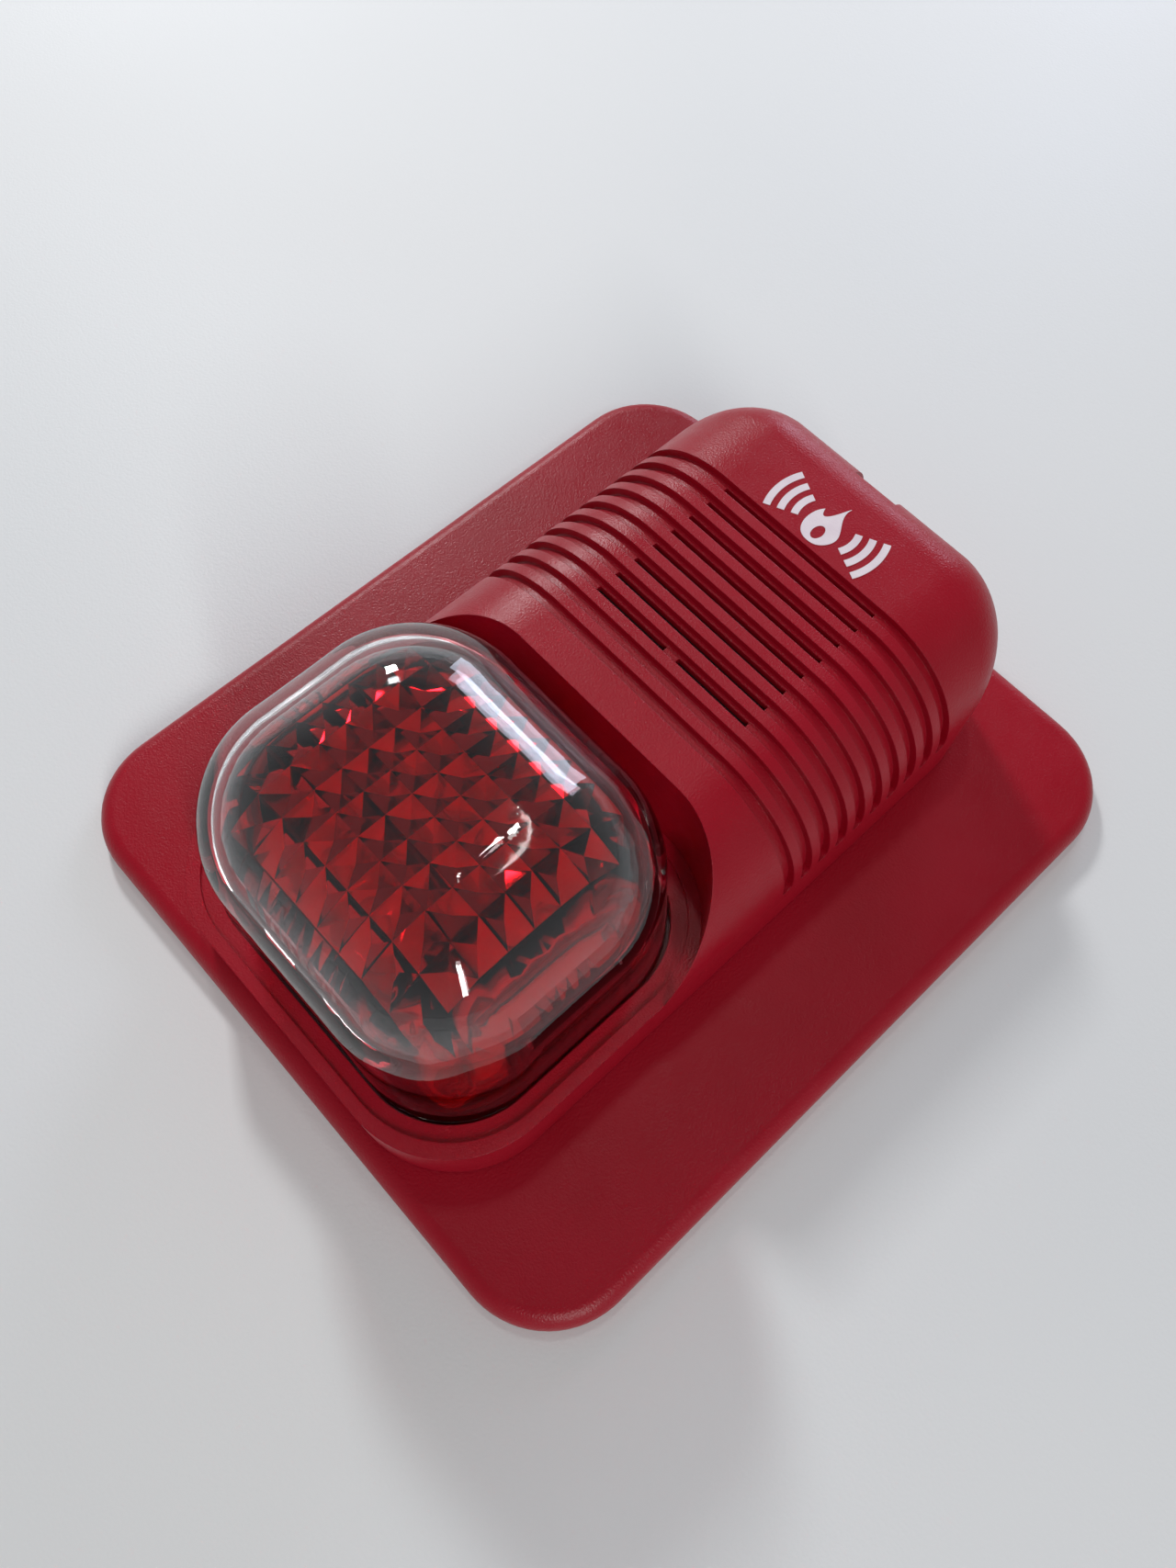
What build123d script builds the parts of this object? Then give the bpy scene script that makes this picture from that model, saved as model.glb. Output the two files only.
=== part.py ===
"""Wall horn strobe: a plug-on sounder and strobe head on a flat mounting plate.

Frame: origin at the centre of the back plate's rear face, +Z out of the wall,
+Y towards the horn end (up when it hangs on a wall), +X to the right from the front.
Lengths are in millimetres.
"""
import os

from build123d import *

# Back plate
PLATE_LENGTH = 160.0
PLATE_WIDTH = 140.0
PLATE_HEIGHT = 6.0
PLATE_CORNER = 18.0
PLATE_EDGE = 3.4
PLATE_WALL = 2.4
PLATE_SKIRT = 3.2
RIB = 1.6
RIB_PITCH_X = 22.0
RIB_PITCH_Y = 26.0

# Fixing holes for two sizes of wall box, and the window for the wires
BOX_HOLES_X = 60.3
BOX_HOLES_Y = 83.5
BOX_HOLE_RADIUS = 2.25
WINDOW = (44.0, 26.0)
WINDOW_Y = -11.0

# Mounting base and terminals
FLOOR_TOP_Z = 8.0
BASE_RIM_Z = 10.0
BASE_RIM = 1.8
BASE_GAP = 0.9
BRACKET_Y = 64.4
BRACKET = 3.2
TERMINALS = 4
TERMINAL_PITCH = 8.0
BLOCK_LOW_Y = 8.0
BLOCK_HIGH_Y = 27.0
BLOCK_TOP_Z = 19.0
WIRE_Z = 11.6
CLAMP_Y = 12.6
SOCKET_Y = 22.0
SOCKET_Z = 9.4

# Head housing
HALF_WIDTH = 41.2
STROBE_END = -76.0
HORN_END = 71.8
CORNER = 21.0
WALL = 2.4
ROOF = 3.0
SKIRT_Z = 6.4
RIM_Z = 22.0
TOP_Z = 43.5
SHOULDER = 21.0
END_ROUND = 10.0

# Lens well in the housing
WELL_END = -4.0
WELL_CORNER = 22.0
LIP = 2.3
LEDGE_Z = 21.2
LEDGE_UNDER_Z = 18.8

# Grille
GROOVES = 10
SLOTTED_GROOVES = 8
GROOVE_PITCH = 4.6
FIRST_GROOVE_Y = 45.8
GROOVE_WIDTH = 2.5
GROOVE_DEPTH = 1.5
SLOT_LENGTH = 37.0
SLOT_WIDTH = 1.0
SLOT_BRIDGE = 3.0

# Screw notch in the horn end
NOTCH_WIDTH = 10.0
NOTCH_FLOOR_Y = 67.2
NOTCH_TOP_Z = 43.0
PAD_TOP_Z = 39.0
LOCK_Z = 13.6
LOCK_RADIUS = 1.5
NUT_Y = 58.5
NUT_THICK = 2.4

# Lenses
LENS_HALF = 35.8
LENS_MID_Y = -40.05
LENS_HALF_Y = 30.65
LENS_CORNER = 17.0
LENS_TOP_Z = 66.0
LENS_TOP_CORNER = 27.0
LENS_SHOULDER = 23.0
LENS_WALL = 2.5
FLANGE = 2.6
FLANGE_Z = 16.4
FLANGE_THICK = 2.0
DIFFUSER_GAP = 3.2
DIFFUSER_TOP_Z = 60.5
DIFFUSER_WALL = 2.0
DIFFUSER_SHOULDER = 17.0
DIFFUSER_FLANGE = 1.1
PYRAMID_PITCH = 7.1
PYRAMID_DEPTH = 2.6

# Stack inside the head
SCREW_RADIUS = 1.1
COVER_Z = 12.0
COVER_TOP_Z = 14.0
SIDE_BOSS = 20.0
END_BOSS = 24.0
LED_BOARD_Z = 16.0
BOARD_Z = 22.0
BOARD_THICK = 1.6
CHAMBER_Y = 29.7
CHAMBER_Z = 28.0
CHAMBER_RADIUS = 19.0
CHAMBER_TOP_Z = 40.1
EAR_TOP_Z = 39.4
DISC_TOP_Z = 30.2
DISC_RADIUS = 17.0
CERAMIC_RADIUS = 12.0
DISC_THICK = 0.3
MESH_THICK = 0.4
INK = 0.12
SYMBOL_Y = 53.2

# Setting switches on the underside of the board
SWITCH_X = -20.0
SWITCH_Y = 44.0
SWITCH_Z = 18.0
SLIDERS = 4
SLIDER_PITCH = 2.54
SLIDER_TRAVEL = 1.2
TRIMMER_X = 18.0
TRIMMER_Y = 44.0
TRIMMER_Z = 17.6

BOARD_TOP_Z = BOARD_Z + BOARD_THICK
LED_BOARD_TOP_Z = LED_BOARD_Z + BOARD_THICK
PAD_LOW_Y = NOTCH_FLOOR_Y - WALL
PAD_HIGH_Y = HORN_END - 2.0
TERMINAL_X = [(i - (TERMINALS - 1) / 2) * TERMINAL_PITCH for i in range(TERMINALS)]
SLIDER_X = [SWITCH_X + (i - (SLIDERS - 1) / 2) * SLIDER_PITCH for i in range(SLIDERS)]
SIDE_SCREWS = [(-33.5, 3.0), (33.5, 3.0)]
END_SCREWS = [(-28.0, 60.0), (28.0, 60.0)]
COVER_SCREWS = SIDE_SCREWS + END_SCREWS
BOARD_SCREWS = [(-24.0, 6.0), (24.0, 6.0), (-24.0, 52.0), (24.0, 52.0)]
LED_POSTS = [(-24.0, -58.0), (24.0, -58.0), (-24.0, -22.0), (24.0, -22.0)]
CHAMBER_SCREWS = [(-22.6, CHAMBER_Y), (22.6, CHAMBER_Y)]
BASE_SCREWS = [(-30.0, -52.0), (30.0, -52.0), (-30.0, 50.0), (30.0, 50.0)]

os.makedirs("parts", exist_ok=True)


def save(part, label):
    """Give a finished piece its name and write it."""
    part.label = label
    export_step(part, f"parts/{label}.step")


def rounded(half_x, y_low, y_high, corner):
    """Rounded rectangle in the current sketch, symmetric about x = 0."""
    with Locations((0, (y_low + y_high) / 2)):
        RectangleRounded(2 * half_x, y_high - y_low, corner)


def cylinders(places, radius, z_low, z_high, mode=Mode.ADD):
    """Upright round pegs or holes at the given places of the current part."""
    with BuildSketch(Plane.XY.offset(z_low)) as rounds:
        with Locations(*places):
            Circle(radius)
    extrude(rounds.sketch, amount=z_high - z_low, mode=mode)


def cross_recess(places, z_low, z_high, size=3.0):
    """Cross-shaped driver recess in screw heads of the current part."""
    with BuildSketch(Plane.XY.offset(z_low)) as crosses:
        with Locations(*places):
            Rectangle(size, 0.7)
            Rectangle(0.7, size)
    extrude(crosses.sketch, amount=z_high - z_low, mode=Mode.SUBTRACT)


# ---------------------------------------------------------------- base pieces

# Back plate: a shallow tray, open at the rear, with ribs and screw bosses
skin_under = PLATE_HEIGHT - PLATE_WALL
with BuildPart() as backplate:
    with BuildSketch():
        RectangleRounded(PLATE_WIDTH, PLATE_LENGTH, PLATE_CORNER)
    extrude(amount=PLATE_HEIGHT)
    fillet(backplate.faces().sort_by(Axis.Z)[-1].edges(), PLATE_EDGE)
    with BuildSketch():
        RectangleRounded(
            PLATE_WIDTH - 2 * PLATE_SKIRT,
            PLATE_LENGTH - 2 * PLATE_SKIRT,
            PLATE_CORNER - PLATE_SKIRT,
        )
    extrude(amount=skin_under, mode=Mode.SUBTRACT)
    with BuildSketch():
        with GridLocations(RIB_PITCH_X, 0, 6, 1):
            Rectangle(RIB, PLATE_LENGTH - 2 * PLATE_WALL)
        with GridLocations(0, RIB_PITCH_Y, 1, 6):
            Rectangle(PLATE_WIDTH - 2 * PLATE_WALL, RIB)
        with Locations((0, WINDOW_Y)):
            RectangleRounded(WINDOW[0] + 5, WINDOW[1] + 5, 5)
        with Locations(*BASE_SCREWS):
            Circle(4.0)
        with GridLocations(BOX_HOLES_X, 0, 2, 1):
            Circle(5.0)
        with GridLocations(0, BOX_HOLES_Y, 1, 2):
            Circle(5.0)
    extrude(amount=skin_under)
    with BuildSketch():
        with Locations((0, WINDOW_Y)):
            RectangleRounded(*WINDOW, 4)
        with GridLocations(BOX_HOLES_X, 0, 2, 1):
            Circle(BOX_HOLE_RADIUS)
        with GridLocations(0, BOX_HOLES_Y, 1, 2):
            Circle(BOX_HOLE_RADIUS)
    extrude(amount=PLATE_HEIGHT, mode=Mode.SUBTRACT)
    cylinders(BASE_SCREWS, SCREW_RADIUS, 1.2, PLATE_HEIGHT, Mode.SUBTRACT)
save(backplate.part, "backplate")

# Mounting base: tray that carries the terminals, with the bracket for the lock screw
BASE_HALF = HALF_WIDTH - WALL - BASE_GAP
BASE_LOW_Y = STROBE_END + WALL + BASE_GAP
BASE_CORNER = CORNER - WALL - BASE_GAP
with BuildPart() as mounting_base:
    with BuildSketch(Plane.XY.offset(PLATE_HEIGHT)):
        rounded(BASE_HALF, BASE_LOW_Y, BRACKET_Y, BASE_CORNER)
    extrude(amount=BASE_RIM_Z - PLATE_HEIGHT)
    with BuildSketch(Plane.XY.offset(FLOOR_TOP_Z)):
        rounded(BASE_HALF - BASE_RIM, BASE_LOW_Y + BASE_RIM, BRACKET_Y - BASE_RIM, BASE_CORNER - BASE_RIM)
    extrude(amount=BASE_RIM_Z, mode=Mode.SUBTRACT)
    with BuildSketch(Plane.XZ.offset(-BRACKET_Y)):
        with Locations((0, FLOOR_TOP_Z)):
            Rectangle(15.0, 9.6, align=(Align.CENTER, Align.MIN))
        with Locations((0, LOCK_Z)):
            Circle(2.0, mode=Mode.SUBTRACT)
            Rectangle(4.0, 6.0, align=(Align.CENTER, Align.MIN), mode=Mode.SUBTRACT)
    extrude(amount=BRACKET)
    with BuildSketch(Plane.XY.offset(PLATE_HEIGHT)):
        with Locations((0, WINDOW_Y)):
            RectangleRounded(*WINDOW, 4)
        with GridLocations(BOX_HOLES_X, 0, 2, 1):
            Circle(BOX_HOLE_RADIUS)
        with GridLocations(0, BOX_HOLES_Y, 1, 2):
            Circle(BOX_HOLE_RADIUS)
        with Locations(*BASE_SCREWS):
            Circle(1.6)
    extrude(amount=FLOOR_TOP_Z - PLATE_HEIGHT, mode=Mode.SUBTRACT)
save(mounting_base.part, "mounting_base")

# Self-tapping screws that hold the mounting base to the plate
with BuildPart() as base_screws:
    cylinders(BASE_SCREWS, SCREW_RADIUS, 1.4, FLOOR_TOP_Z)
    cylinders(BASE_SCREWS, 2.8, FLOOR_TOP_Z, FLOOR_TOP_Z + 1.8)
    cross_recess(BASE_SCREWS, FLOOR_TOP_Z + 0.9, FLOOR_TOP_Z + 1.8)
save(base_screws.part, "base_screws")

CLAMP_PLACES = [(x, CLAMP_Y) for x in TERMINAL_X]
SOCKET_PLACES = [(x, SOCKET_Y) for x in TERMINAL_X]

# Terminal block: wire chambers face the window, plug sockets lie behind them
with BuildPart() as terminal_block:
    with BuildSketch(Plane.XY.offset(FLOOR_TOP_Z)):
        with Locations((0, (BLOCK_LOW_Y + BLOCK_HIGH_Y) / 2)):
            Rectangle(TERMINALS * TERMINAL_PITCH + 3.0, BLOCK_HIGH_Y - BLOCK_LOW_Y)
    extrude(amount=BLOCK_TOP_Z - FLOOR_TOP_Z)
    chamfer(terminal_block.faces().sort_by(Axis.Z)[-1].edges(), 0.6)
    with BuildSketch(Plane.XZ.offset(-BLOCK_LOW_Y)):
        with Locations(*[(x, WIRE_Z) for x in TERMINAL_X]):
            Rectangle(5.2, 5.0)
    extrude(amount=-9.0, mode=Mode.SUBTRACT)
    cylinders(CLAMP_PLACES, 2.3, 13.0, BLOCK_TOP_Z, Mode.SUBTRACT)
    with BuildSketch(Plane.XY.offset(SOCKET_Z)):
        with Locations(*SOCKET_PLACES):
            Rectangle(3.8, 3.2)
    extrude(amount=12.0, mode=Mode.SUBTRACT)
save(terminal_block.part, "terminal_block")

# Clamp cages in the wire chambers
with BuildPart() as terminal_clamps:
    with BuildSketch(Plane.XZ.offset(-10.0)):
        with Locations(*[(x, WIRE_Z) for x in TERMINAL_X]):
            Rectangle(4.8, 4.6)
            Rectangle(3.2, 3.0, mode=Mode.SUBTRACT)
    extrude(amount=-5.2)
    cylinders(CLAMP_PLACES, 1.25, 13.0, 14.0, Mode.SUBTRACT)
save(terminal_clamps.part, "terminal_clamps")

# Clamp screws, slotted heads in the round wells
with BuildPart() as terminal_screws:
    cylinders(CLAMP_PLACES, 1.2, 12.4, 15.6)
    cylinders(CLAMP_PLACES, 2.1, 15.6, 17.4)
    with BuildSketch(Plane.XY.offset(16.7)):
        with Locations(*CLAMP_PLACES):
            Rectangle(4.4, 0.7)
    extrude(amount=1.0, mode=Mode.SUBTRACT)
save(terminal_screws.part, "terminal_screws")

# Spring sockets: folded brass tubes that take the head's pins
with BuildPart() as socket_contacts:
    with BuildSketch(Plane.XY.offset(SOCKET_Z)):
        with Locations(*SOCKET_PLACES):
            Rectangle(3.2, 2.6)
            Rectangle(2.2, 1.7, mode=Mode.SUBTRACT)
    extrude(amount=8.6)
save(socket_contacts.part, "socket_contacts")

# --------------------------------------------------------------- head housing


def body_profile(inset):
    """Cross-section of the horn half: straight walls, round shoulders, flat top."""
    half = HALF_WIDTH - inset
    top = TOP_Z - inset
    radius = SHOULDER - inset
    low = RIM_Z - 6
    with BuildSketch() as profile:
        with BuildLine():
            CenterArc((half - radius, top - radius), radius, 0, 90)
            Line((half - radius, top), (radius - half, top))
            CenterArc((radius - half, top - radius), radius, 90, 90)
            Polyline((-half, top - radius), (-half, low), (half, low), (half, top - radius))
        make_face()
    return profile.sketch


def horn_block(inset, low_z):
    """Solid of the horn half, shrunk by the inset, with its upper end rounded over."""
    section = body_profile(inset)
    with BuildPart() as block:
        with BuildSketch(Plane.XZ.offset(-HORN_END)):
            add(section)
        extrude(amount=HORN_END - WELL_END + WELL_CORNER)
        with BuildSketch(Plane.XY.offset(low_z)):
            rounded(HALF_WIDTH - inset, -70, HORN_END - inset, CORNER - inset)
        extrude(amount=TOP_Z, mode=Mode.INTERSECT)
        mitres = block.edges().filter_by(GeomType.ELLIPSE)
        brow = block.edges().filter_by(Axis.X).group_by(Axis.Z)[-1].sort_by(Axis.Y)[-1]
        fillet([*mitres, brow], END_ROUND - inset)
    return block.part


def groove_ring(groove_y):
    """One groove over the top and down both shoulders, with round lower ends."""
    core = body_profile(GROOVE_DEPTH)
    end_z = RIM_Z + GROOVE_WIDTH / 2
    with BuildPart() as ring:
        with BuildSketch(Plane.YZ.offset(-HALF_WIDTH - 1)):
            with Locations((groove_y, end_z)):
                Circle(GROOVE_WIDTH / 2)
                Rectangle(GROOVE_WIDTH, TOP_Z, align=(Align.CENTER, Align.MIN))
        extrude(amount=2 * HALF_WIDTH + 2)
        with BuildSketch(Plane.XZ.offset(-groove_y - GROOVE_WIDTH)):
            add(core)
        extrude(amount=2 * GROOVE_WIDTH, mode=Mode.SUBTRACT)
    return ring.part


def slot_sizes(index):
    """Centres and lengths of the slots in one groove: the last has a bridge at its middle."""
    if index < SLOTTED_GROOVES - 1:
        return [(0.0, SLOT_LENGTH)]
    half = (SLOT_LENGTH - SLOT_BRIDGE) / 2
    shift = (SLOT_LENGTH + SLOT_BRIDGE) / 4
    return [(-shift, half), (shift, half)]


outer_block = horn_block(0, RIM_Z - 1)
inner_block = horn_block(ROOF, LEDGE_UNDER_Z - 1)
groove_rings = [groove_ring(FIRST_GROOVE_Y - index * GROOVE_PITCH) for index in range(GROOVES)]
with BuildPart() as horn_room:
    add(inner_block)
    with BuildSketch():
        rounded(HALF_WIDTH + WALL, STROBE_END, WELL_END + WALL, WELL_CORNER + WALL)
    extrude(amount=TOP_Z, mode=Mode.SUBTRACT)

with BuildPart() as housing:
    with BuildSketch(Plane.XY.offset(SKIRT_Z)):
        rounded(HALF_WIDTH, STROBE_END, HORN_END, CORNER)
    extrude(amount=RIM_Z - SKIRT_Z)
    add(outer_block)
    # Lens well with a raised lip round its edge
    with BuildSketch(Plane.XY.offset(RIM_Z)):
        rounded(HALF_WIDTH, STROBE_END, WELL_END, WELL_CORNER)
    extrude(amount=TOP_Z, mode=Mode.SUBTRACT)
    with BuildSketch(Plane.XY.offset(LEDGE_Z)):
        rounded(HALF_WIDTH - LIP, STROBE_END + LIP, WELL_END - LIP, WELL_CORNER - LIP)
    extrude(amount=TOP_Z, mode=Mode.SUBTRACT)
    # Hollow: a low room under the ledge and a tall one under the grille
    with BuildSketch(Plane.XY.offset(SKIRT_Z)):
        rounded(HALF_WIDTH - WALL, STROBE_END + WALL, HORN_END - WALL, CORNER - WALL)
    extrude(amount=LEDGE_UNDER_Z - SKIRT_Z, mode=Mode.SUBTRACT)
    add(horn_room.part, mode=Mode.SUBTRACT)
    with BuildSketch(Plane.XY.offset(LEDGE_UNDER_Z - 1)):
        with Locations((0, LENS_MID_Y)):
            RectangleRounded(2 * LENS_HALF + 0.6, 2 * LENS_HALF_Y + 0.6, LENS_CORNER + 0.3)
    extrude(amount=6, mode=Mode.SUBTRACT)
    # Notch for the lock screw: a pad behind the end wall with the recess cut into it
    with BuildSketch(Plane.XY.offset(SKIRT_Z)):
        with Locations((0, PAD_LOW_Y)):
            Rectangle(NOTCH_WIDTH + 2 * WALL, PAD_HIGH_Y - PAD_LOW_Y, align=(Align.CENTER, Align.MIN))
    extrude(amount=PAD_TOP_Z - SKIRT_Z)
    with BuildSketch(Plane.XY.offset(SKIRT_Z)):
        with Locations((0, NOTCH_FLOOR_Y)):
            Rectangle(NOTCH_WIDTH, 8, align=(Align.CENTER, Align.MIN))
    extrude(amount=NOTCH_TOP_Z - SKIRT_Z, mode=Mode.SUBTRACT)
    with BuildSketch(Plane.XZ.offset(-NOTCH_FLOOR_Y - 1)):
        with Locations((0, LOCK_Z)):
            Circle(LOCK_RADIUS + 0.25)
    extrude(amount=5, mode=Mode.SUBTRACT)
    # Bosses for the rear cover, the board and the horn chamber, each with its pilot hole
    cylinders(SIDE_SCREWS, 3.2, COVER_TOP_Z, COVER_TOP_Z + SIDE_BOSS)
    cylinders(END_SCREWS, 3.2, COVER_TOP_Z, COVER_TOP_Z + END_BOSS)
    cylinders(BOARD_SCREWS, 2.8, BOARD_TOP_Z, TOP_Z - 2.4)
    cylinders(CHAMBER_SCREWS, 2.6, EAR_TOP_Z, EAR_TOP_Z + 1.6)
    cylinders(COVER_SCREWS, SCREW_RADIUS, COVER_TOP_Z, COVER_TOP_Z + 10.0, Mode.SUBTRACT)
    cylinders(BOARD_SCREWS, SCREW_RADIUS, BOARD_TOP_Z, BOARD_TOP_Z + 8.0, Mode.SUBTRACT)
    cylinders(CHAMBER_SCREWS, SCREW_RADIUS, EAR_TOP_Z, EAR_TOP_Z + 1.3, Mode.SUBTRACT)
    # Grooves, with sound slots through the roof in the first eight
    add(groove_rings, mode=Mode.SUBTRACT)
    with BuildSketch(Plane.XY.offset(TOP_Z - ROOF - 1)):
        for index in range(SLOTTED_GROOVES):
            for slot_x, length in slot_sizes(index):
                with Locations((slot_x, FIRST_GROOVE_Y - index * GROOVE_PITCH)):
                    Rectangle(length, SLOT_WIDTH)
    extrude(amount=ROOF + 2, mode=Mode.SUBTRACT)
save(housing.part, "housing")

# ------------------------------------------------------------------ the lenses


def lens_plan(grow, mode=Mode.ADD):
    """Plan outline of the clear lens, grown by the given amount."""
    with Locations((0, LENS_MID_Y)):
        RectangleRounded(2 * (LENS_HALF + grow), 2 * (LENS_HALF_Y + grow), LENS_CORNER + grow, mode=mode)


def dome(inset, low_z, top_z, shoulder):
    """Solid dome, shrunk in plan by the inset: its corners widen as it rises to the round shoulder."""
    with BuildPart() as solid:
        with BuildSketch(Plane.XY.offset(low_z)):
            lens_plan(-inset)
        with BuildSketch(Plane.XY.offset(top_z)):
            with Locations((0, LENS_MID_Y)):
                RectangleRounded(2 * (LENS_HALF - inset), 2 * (LENS_HALF_Y - inset), LENS_TOP_CORNER - inset)
        loft(ruled=True)
        fillet(solid.faces().sort_by(Axis.Z)[-1].edges(), shoulder)
    return solid.part


# Clear cover: a pillow-shaped dome with a flange that is trapped under the ledge
lens_skin = dome(0, FLANGE_Z, LENS_TOP_Z, LENS_SHOULDER)
lens_hollow = dome(LENS_WALL, FLANGE_Z - 1, LENS_TOP_Z - LENS_WALL, LENS_SHOULDER - LENS_WALL)
with BuildPart() as clear_lens:
    add(lens_skin)
    with BuildSketch(Plane.XY.offset(FLANGE_Z)):
        lens_plan(FLANGE)
    extrude(amount=FLANGE_THICK)
    add(lens_hollow, mode=Mode.SUBTRACT)
    with BuildSketch(Plane.XY.offset(FLANGE_Z)):
        lens_plan(-1.0)
    extrude(amount=DIFFUSER_FLANGE, mode=Mode.SUBTRACT)
save(clear_lens.part, "clear_lens")

# Seal between the lens flange and the underside of the ledge
with BuildPart() as lens_gasket:
    with BuildSketch(Plane.XY.offset(FLANGE_Z + FLANGE_THICK)):
        lens_plan(FLANGE - 0.2)
        lens_plan(0.4, Mode.SUBTRACT)
    extrude(amount=LEDGE_UNDER_Z - FLANGE_Z - FLANGE_THICK)
save(lens_gasket.part, "lens_gasket")


def v_groove(centre):
    """Triangular groove profile: rows of it across each other leave square pyramids."""
    half = PYRAMID_PITCH / 2
    corners = [(centre - half, 0), (centre + half, 0), (centre, -PYRAMID_DEPTH)]
    with Locations((0, DIFFUSER_TOP_Z)):
        Polygon(*corners, align=None)


# Red diffuser: pyramids moulded into its top, upright flutes round its sides
diffuser_skin = dome(DIFFUSER_GAP, FLANGE_Z, DIFFUSER_TOP_Z, DIFFUSER_SHOULDER)
diffuser_hollow = dome(
    DIFFUSER_GAP + DIFFUSER_WALL,
    FLANGE_Z - 1,
    DIFFUSER_TOP_Z - PYRAMID_DEPTH - DIFFUSER_WALL,
    DIFFUSER_SHOULDER - DIFFUSER_WALL,
)
with BuildPart() as red_lens:
    add(diffuser_skin)
    with BuildSketch(Plane.XY.offset(FLANGE_Z)):
        lens_plan(-1.2)
    extrude(amount=DIFFUSER_FLANGE)
    for step in range(-4, 5):
        with BuildSketch(Plane.XZ):
            v_groove(step * PYRAMID_PITCH)
        extrude(amount=80, mode=Mode.SUBTRACT)
    for step in range(-3, 5):
        with BuildSketch(Plane.YZ.offset(-40)):
            v_groove(LENS_MID_Y + (step - 0.5) * PYRAMID_PITCH)
        extrude(amount=80, mode=Mode.SUBTRACT)
    with BuildSketch(Plane.XY.offset(FLANGE_Z + DIFFUSER_FLANGE + 1)):
        for step in range(-2, 3):
            for side in (-1, 1):
                with Locations((step * PYRAMID_PITCH, LENS_MID_Y + side * (LENS_HALF_Y - DIFFUSER_GAP))):
                    Rectangle(1.5, 1.5, rotation=45)
                with Locations((side * (LENS_HALF - DIFFUSER_GAP), LENS_MID_Y + step * PYRAMID_PITCH)):
                    Rectangle(1.5, 1.5, rotation=45)
    extrude(amount=24, mode=Mode.SUBTRACT)
    add(diffuser_hollow, mode=Mode.SUBTRACT)
save(red_lens.part, "red_lens")

# Frame that clamps both lens flanges, notched where the strobe leads cross it
with BuildPart() as lens_retainer:
    with BuildSketch(Plane.XY.offset(COVER_TOP_Z)):
        lens_plan(FLANGE - 0.1)
        with Locations((0, LENS_MID_Y)):
            RectangleRounded(57.0, 50.0, 9.0, mode=Mode.SUBTRACT)
        with Locations((0, -10.0)):
            Rectangle(12.0, 14.0, mode=Mode.SUBTRACT)
    extrude(amount=FLANGE_Z - COVER_TOP_Z)
save(lens_retainer.part, "lens_retainer")

# ------------------------------------------------------------- strobe pieces

LED_GRID = [((i - 1.5) * 12.0, LENS_MID_Y + (j - 1) * 12.0) for i in range(4) for j in range(3)]

with BuildPart() as led_board:
    with BuildSketch(Plane.XY.offset(LED_BOARD_Z)):
        with Locations((0, LENS_MID_Y)):
            RectangleRounded(54.0, 44.0, 2.0)
        with Locations(*LED_POSTS):
            Circle(1.4, mode=Mode.SUBTRACT)
    extrude(amount=BOARD_THICK)
save(led_board.part, "led_board")

with BuildPart() as strobe_leds:
    with BuildSketch(Plane.XY.offset(LED_BOARD_TOP_Z)):
        with Locations(*LED_GRID):
            Rectangle(4.6, 4.6)
    extrude(amount=1.5)
save(strobe_leds.part, "strobe_leds")

# Reflector: a white block with one conical cup round each LED
with BuildPart() as reflector:
    with BuildSketch(Plane.XY.offset(LED_BOARD_TOP_Z)):
        with Locations((0, LENS_MID_Y)):
            RectangleRounded(53.0, 43.0, 3.0)
        with Locations(*LED_POSTS):
            Circle(2.9, mode=Mode.SUBTRACT)
    extrude(amount=4.4)
    with BuildSketch(Plane.XY.offset(LED_BOARD_TOP_Z)):
        with Locations(*LED_GRID):
            Circle(3.6)
    extrude(amount=4.4, taper=-16, mode=Mode.SUBTRACT)
save(reflector.part, "reflector")

with BuildPart() as led_screws:
    cylinders(LED_POSTS, SCREW_RADIUS, COVER_Z + 0.8, LED_BOARD_TOP_Z)
    cylinders(LED_POSTS, 2.2, LED_BOARD_TOP_Z, LED_BOARD_TOP_Z + 1.5)
    cross_recess(LED_POSTS, LED_BOARD_TOP_Z + 0.7, LED_BOARD_TOP_Z + 1.5)
save(led_screws.part, "led_screws")

# ---------------------------------------------------------------- rear cover

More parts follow.
